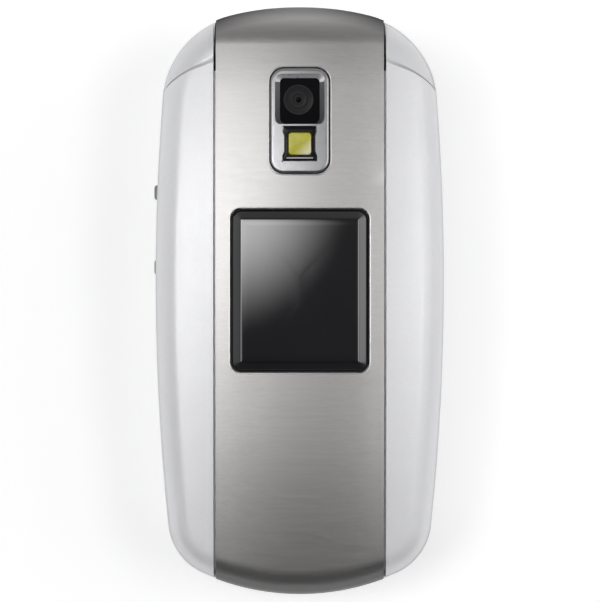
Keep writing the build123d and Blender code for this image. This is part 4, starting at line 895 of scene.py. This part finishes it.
def flat_mark(name, outline, place, ink, body, slot="keys"):
    """Small raised mark with a plan outline of points about its place."""
    base = np.column_stack([outline, np.zeros(len(outline))]) + np.array(place)
    rings = np.array([base - (0, 0, 0.01 * MM), base + (0, 0, 0.01 * MM)])
    return placed(name, tidy(loft(name, rings)), ink, body, slot)


def handset(radius, wide):
    """Outline of a receiver: an arc of 140 degrees whose half width swells towards both ends."""
    turn = np.linspace(radians(20), radians(160), 25)
    half = wide * (0.55 + 0.65 * abs(np.cos(turn)) ** 3)
    outer = (radius + half)[:, None] * np.stack([np.cos(turn), np.sin(turn)], axis=-1)
    inner = (radius - half)[:, None] * np.stack([np.cos(turn), np.sin(turn)], axis=-1)
    return np.concatenate([outer, inner[::-1]]) - (0, radius * 0.8)


def arrowhead(turn, reach, size):
    """Outline of a triangle that points outward in a direction."""
    angles = np.array([0, 2 * pi / 3, 4 * pi / 3]) + turn
    tips = np.stack([np.cos(angles), np.sin(angles)], axis=-1) * size
    return tips + reach * np.array([np.cos(turn), np.sin(turn)])


class PHONE_OT_keypad(bpy.types.Operator):
    """Keys, their legends, the four-way ring and the volume key."""

    bl_idname = "phone.keypad"
    bl_label = "Keypad"

    def execute(self, context):
        paint = context.scene.phone_paint
        caps = moulded("key_lacquer", paint.keys, 0.25, 5000, 0.05, Coat_Weight=0.7, Coat_Roughness=0.08)
        bright = polished("key_chrome", (0.80, 0.80, 0.82), 0.12)
        ink = moulded("legend_ink", paint.legend, 0.5, 9000, 0.05)
        green = moulded("green_ink", (0.02, 0.35, 0.07), 0.5, 9000, 0.05)
        red = moulded("red_ink", (0.55, 0.02, 0.02), 0.5, 9000, 0.05)
        for node in [n for n in frame["nodes"] if n.startswith("key_") and n != "key_ok"]:
            dressed(node, caps)
        for node in ("key_ok", "nav_ring"):
            dressed(node, bright)
        dressed("volume_key", moulded("rocker_grey", (0.30, 0.30, 0.32), 0.35, 5000, 0.1))
        for digit, letters in enumerate(LETTERS, 1):
            self.number(f"key_{digit}", str(digit), letters, ink)
        self.number("key_0", "0", "+", ink)
        x, y, z = self.face("key_star")
        printed("legend_key_star", "*", (x, y - 0.9 * MM, z), 5.5 * MM, ink, "key_star")
        self.number("key_hash", "#", "", ink)
        self.number("key_clear", "C", "", ink)
        receiver = handset(1.5 * MM, 0.5 * MM)
        for side, colour in (("send", green), ("end", red)):
            flat_mark(f"mark_{side}", receiver, self.face(f"key_{side}"), colour, f"key_{side}")
        half = np.array([1.1, 0.16]) * MM
        bar = rounded_loop(-half, half, 0.14 * MM, 4, 2)
        for side in ("left", "right"):
            flat_mark(f"mark_soft_{side}", bar, self.face(f"key_soft_{side}"), ink, f"key_soft_{side}")
        ring = size_of("nav_ring").x / 2
        for quarter in range(4):
            outline = arrowhead(quarter * pi / 2, ring * 0.72, 0.75 * MM)
            flat_mark(f"mark_way_{quarter}", outline, self.face("nav_ring"), ink, "nav_ring", "chrome")
        half = np.array([0.5, 0.5]) * MM
        dot = rounded_loop(-half, half, 0.49 * MM, 8, 1)
        flat_mark("mark_ok", dot, self.face("key_ok"), ink, "key_ok", "chrome")
        return {"FINISHED"}

    def face(self, node):
        """Middle of a key's upper face."""
        middle = centre_of(node)
        return (middle.x, middle.y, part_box(node)[1].z)

    def number(self, node, digit, letters, ink):
        """Digit on the left of a key with its small letters on the right."""
        x, y, z = self.face(node)
        shift = 1.5 * MM if letters else 0.0
        printed(f"legend_{node}", digit, (x - shift, y, z), DIGIT_HEIGHT, ink, node)
        if letters:
            printed(f"letters_{node}", letters, (x + 2.2 * MM, y, z), LETTER_HEIGHT, ink, node)


class PHONE_OT_insides(bpy.types.Operator):
    """Finishes of the hinge, the boards and everything that the housings hold."""

    bl_idname = "phone.insides"
    bl_label = "Hinge and insides"

    def execute(self, context):
        steel = polished("plain_steel", (0.58, 0.58, 0.57), 0.3, 0.1)
        spring = polished("spring_steel", (0.50, 0.49, 0.47), 0.22, 0.1)
        rubber = moulded("soft_rubber", (0.10, 0.10, 0.105), 0.75, 5000, 0.3)
        black = moulded("black_moulding", (0.02, 0.02, 0.022), 0.5, 4000, 0.25)
        pale = moulded("pale_acetal", (0.78, 0.77, 0.73), 0.4, 4000, 0.1)
        looks = {
            "hinge_capsule": steel, "hinge_shaft": steel, "hinge_pin": steel, "hinge_spring": spring,
            "hinge_follower": pale, "hinge_bush": pale, "board_parts": pale,
            "lid_screws": steel, "base_screws": steel, "lid_magnet": steel, "earpiece_mesh": steel,
            "shield_can": polished("tin_plate", (0.66, 0.66, 0.64), 0.35, 0.15),
            "sim_holder": spring, "accessory_socket": steel, "nav_carrier": spring, "vibration_motor": steel,
            "camera_module": black, "earpiece": black, "speaker_module": black,
            "lid_bumpers": rubber, "keypad_mat": rubber,
            "lid_board": printed_board("lid_board_lacquer"),
            "main_board": printed_board("main_board_lacquer"),
            "main_display": display_panel("main_panel", (0.03, 0.035, 0.04)),
            "outer_display": display_panel("outer_panel", (0.05, 0.06, 0.055)),
            "dome_sheet": dome_film("metal_domes"), "battery": battery_wrap("battery_case"),
            "flex_cable": moulded("amber_film", (0.55, 0.25, 0.05), 0.3, 3000, 0.1),
        }
        for node, look in looks.items():
            dressed(node, look)
        return {"FINISHED"}


AIM = (0.03 * MM, -0.04 * MM)  # where the camera looks, from the middle of the phone
FLOOR_HALF = 3.0  # half a side of the floor sheet
# Directions in which the dome grows dim: axis, its cosine where the dome is dimmest and where it is full, and
# the share of light at the dimmest
DIMS = (((0, 0, 1), 0.8, 0.3, 0.15), ((0, 1, 0), -0.55, 0.1, 0.15), ((0, 1, 0), 0.95, 0.2, 0.55))
# Soft lights as seen on a sheet one unit overhead: middle, how narrow across and along, reach of the
# full core and of the faded rim, and share of the strength
GLOWS = (
    ((-0.32, 0.12), (0.5, 1.25), 0.05, 0.27, 1.0),
    ((-0.62, -0.08), (1.0, 0.65), 0.05, 0.3, 0.85),
    ((0.64, 0.0), (1.0, 0.6), 0.05, 0.32, 0.88),
    ((1.7, 0.2), (0.5, 0.45), 0.15, 0.55, 0.25),
)
LOWEST = 0.02  # height of the lowest direction that is drawn out to the sheet


class PHONE_OT_stage(bpy.types.Operator):
    """Camera straight above the closed phone, pale floor, and even light with four soft glows."""

    bl_idname = "phone.stage"
    bl_label = "Camera, floor and light"

    def execute(self, context):
        settings = context.scene.phone_stage
        self.camera(settings)
        self.floor(settings)
        self.world(settings)
        return {"FINISHED"}

    def camera(self, settings):
        """Long lens straight down, with the hinge end up, at a distance from the lower half's face."""
        lens = bpy.data.cameras.new("camera")
        lens.sensor_width = 36.0
        lens.lens = lens.sensor_width * settings.distance / settings.view_height
        lens.clip_start, lens.clip_end = 0.01, 50.0
        camera = bpy.data.objects.new("camera", lens)
        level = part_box("base_front_cover")[1].z
        camera.location = (*AIM, level + settings.distance)
        bpy.context.scene.collection.objects.link(camera)
        bpy.context.scene.camera = camera

    def floor(self, settings):
        """Large pale sheet under the phone that looks white and still takes its shadow."""
        corners = np.array([(-1, -1, 0), (1, -1, 0), (1, 1, 0), (-1, 1, 0)]) * FLOOR_HALF
        mesh = bpy.data.meshes.new("floor")
        mesh.from_pydata((corners + (0, 0, solid_box[0].z)).tolist(), [], [(0, 1, 2, 3)])
        made = Finish("floor_paper", 0.9)
        paper = made.noise(800, 2)
        made.coloured(made.mixed(paper, (0.79, 0.79, 0.79), (0.81, 0.81, 0.81)))
        rays = made.put("ShaderNodeLightPath").outputs
        seen = made.operate("MAXIMUM", rays["Is Camera Ray"], rays["Is Glossy Ray"])
        seen = made.operate("MAXIMUM", seen, rays["Is Transmission Ray"])
        lift = made.operate("MULTIPLY", seen, settings.floor_lift)
        glow = made.put("ShaderNodeEmission", Color=(1, 1, 1, 1), Strength=lift).outputs[0]
        both = made.put("ShaderNodeAddShader", i0=made.shader.outputs[0], i1=glow)
        made.tree.links.new(both.outputs[0], made.tree.nodes["Material Output"].inputs["Surface"])
        floor = bpy.data.objects.new("floor", mesh)
        mesh.materials.append(made.material)
        bpy.context.scene.collection.objects.link(floor)

    def world(self, settings):
        """Light by direction: a dome that is dim overhead and towards both ends, and round glows that
        fade softly from their core to their rim, so that glossy faces show soft edges."""
        world = bpy.data.worlds.new("studio")
        bpy.context.scene.world = world
        world.use_nodes = True
        tree = world.node_tree
        tree.nodes.clear()
        towards = tree.nodes.new("ShaderNodeTexCoord").outputs["Generated"]
        total = settings.dome
        for axis, dim, full, share in DIMS:
            lean = combine(tree, "DOT_PRODUCT", towards, axis, "Value")
            part = put(tree, "ShaderNodeMapRange", i0=lean, i1=dim, i2=full, i3=share, i4=1.0).outputs[0]
            total = operate(tree, "MULTIPLY", total, part)
        height = combine(tree, "DOT_PRODUCT", towards, (0, 0, 1), "Value")
        spot = combine(tree, "DIVIDE", towards, operate(tree, "MAXIMUM", height, LOWEST))
        for middle, narrow, core, rim, strength in GLOWS:
            away = combine(tree, "SUBTRACT", spot, (*middle, 1.0))
            away = combine(tree, "MULTIPLY", away, (*narrow, 0.0))
            reach = combine(tree, "LENGTH", away, output="Value")
            values = {"i0": reach, "i1": rim, "i2": core, "i3": 0.0, "i4": strength * settings.glow}
            soft = put(tree, "ShaderNodeMapRange", {"interpolation_type": "SMOOTHSTEP"}, **values)
            total = operate(tree, "ADD", total, soft.outputs[0])
        light = put(tree, "ShaderNodeBackground", Color=(1, 1, 1, 1), Strength=total).outputs[0]
        put(tree, "ShaderNodeOutputWorld", Surface=light)


class PHONE_PT_panel(bpy.types.Panel):
    """Lists the steps and their settings."""

    bl_idname = "PHONE_PT_panel"
    bl_label = "Phone"
    bl_space_type = "VIEW_3D"
    bl_region_type = "UI"
    bl_category = "Phone"

    def draw(self, context):
        for group, steps in GROUPS.items():
            box = self.layout.box()
            settings = getattr(context.scene, group)
            for name in settings.__annotations__:
                box.prop(settings, name)
            for step in steps:
                box.operator(step.bl_idname)


SETTINGS = {
    "phone_paint": PaintSettings,
    "phone_window": WindowSettings,
    "phone_camera": CameraSettings,
    "phone_stage": StageSettings,
}
GROUPS = {
    "phone_paint": (PHONE_OT_housings, PHONE_OT_keypad, PHONE_OT_insides),
    "phone_window": (PHONE_OT_window,),
    "phone_camera": (PHONE_OT_camera,),
    "phone_stage": (PHONE_OT_stage,),
}
STEPS = [step for steps in GROUPS.values() for step in steps]


def register():
    for kind in [*SETTINGS.values(), *STEPS, PHONE_PT_panel]:
        bpy.utils.register_class(kind)
    for name, kind in SETTINGS.items():
        setattr(bpy.types.Scene, name, PointerProperty(type=kind))


def unregister():
    for name in SETTINGS:
        delattr(bpy.types.Scene, name)
    for kind in reversed([*SETTINGS.values(), *STEPS, PHONE_PT_panel]):
        bpy.utils.unregister_class(kind)


def main():
    """Builds everything in order."""
    bpy.context.scene.view_settings.view_transform = "Standard"
    register()
    for step in STEPS:
        group, name = step.bl_idname.split(".")
        getattr(getattr(bpy.ops, group), name)()


if __name__ == "__main__":
    main()
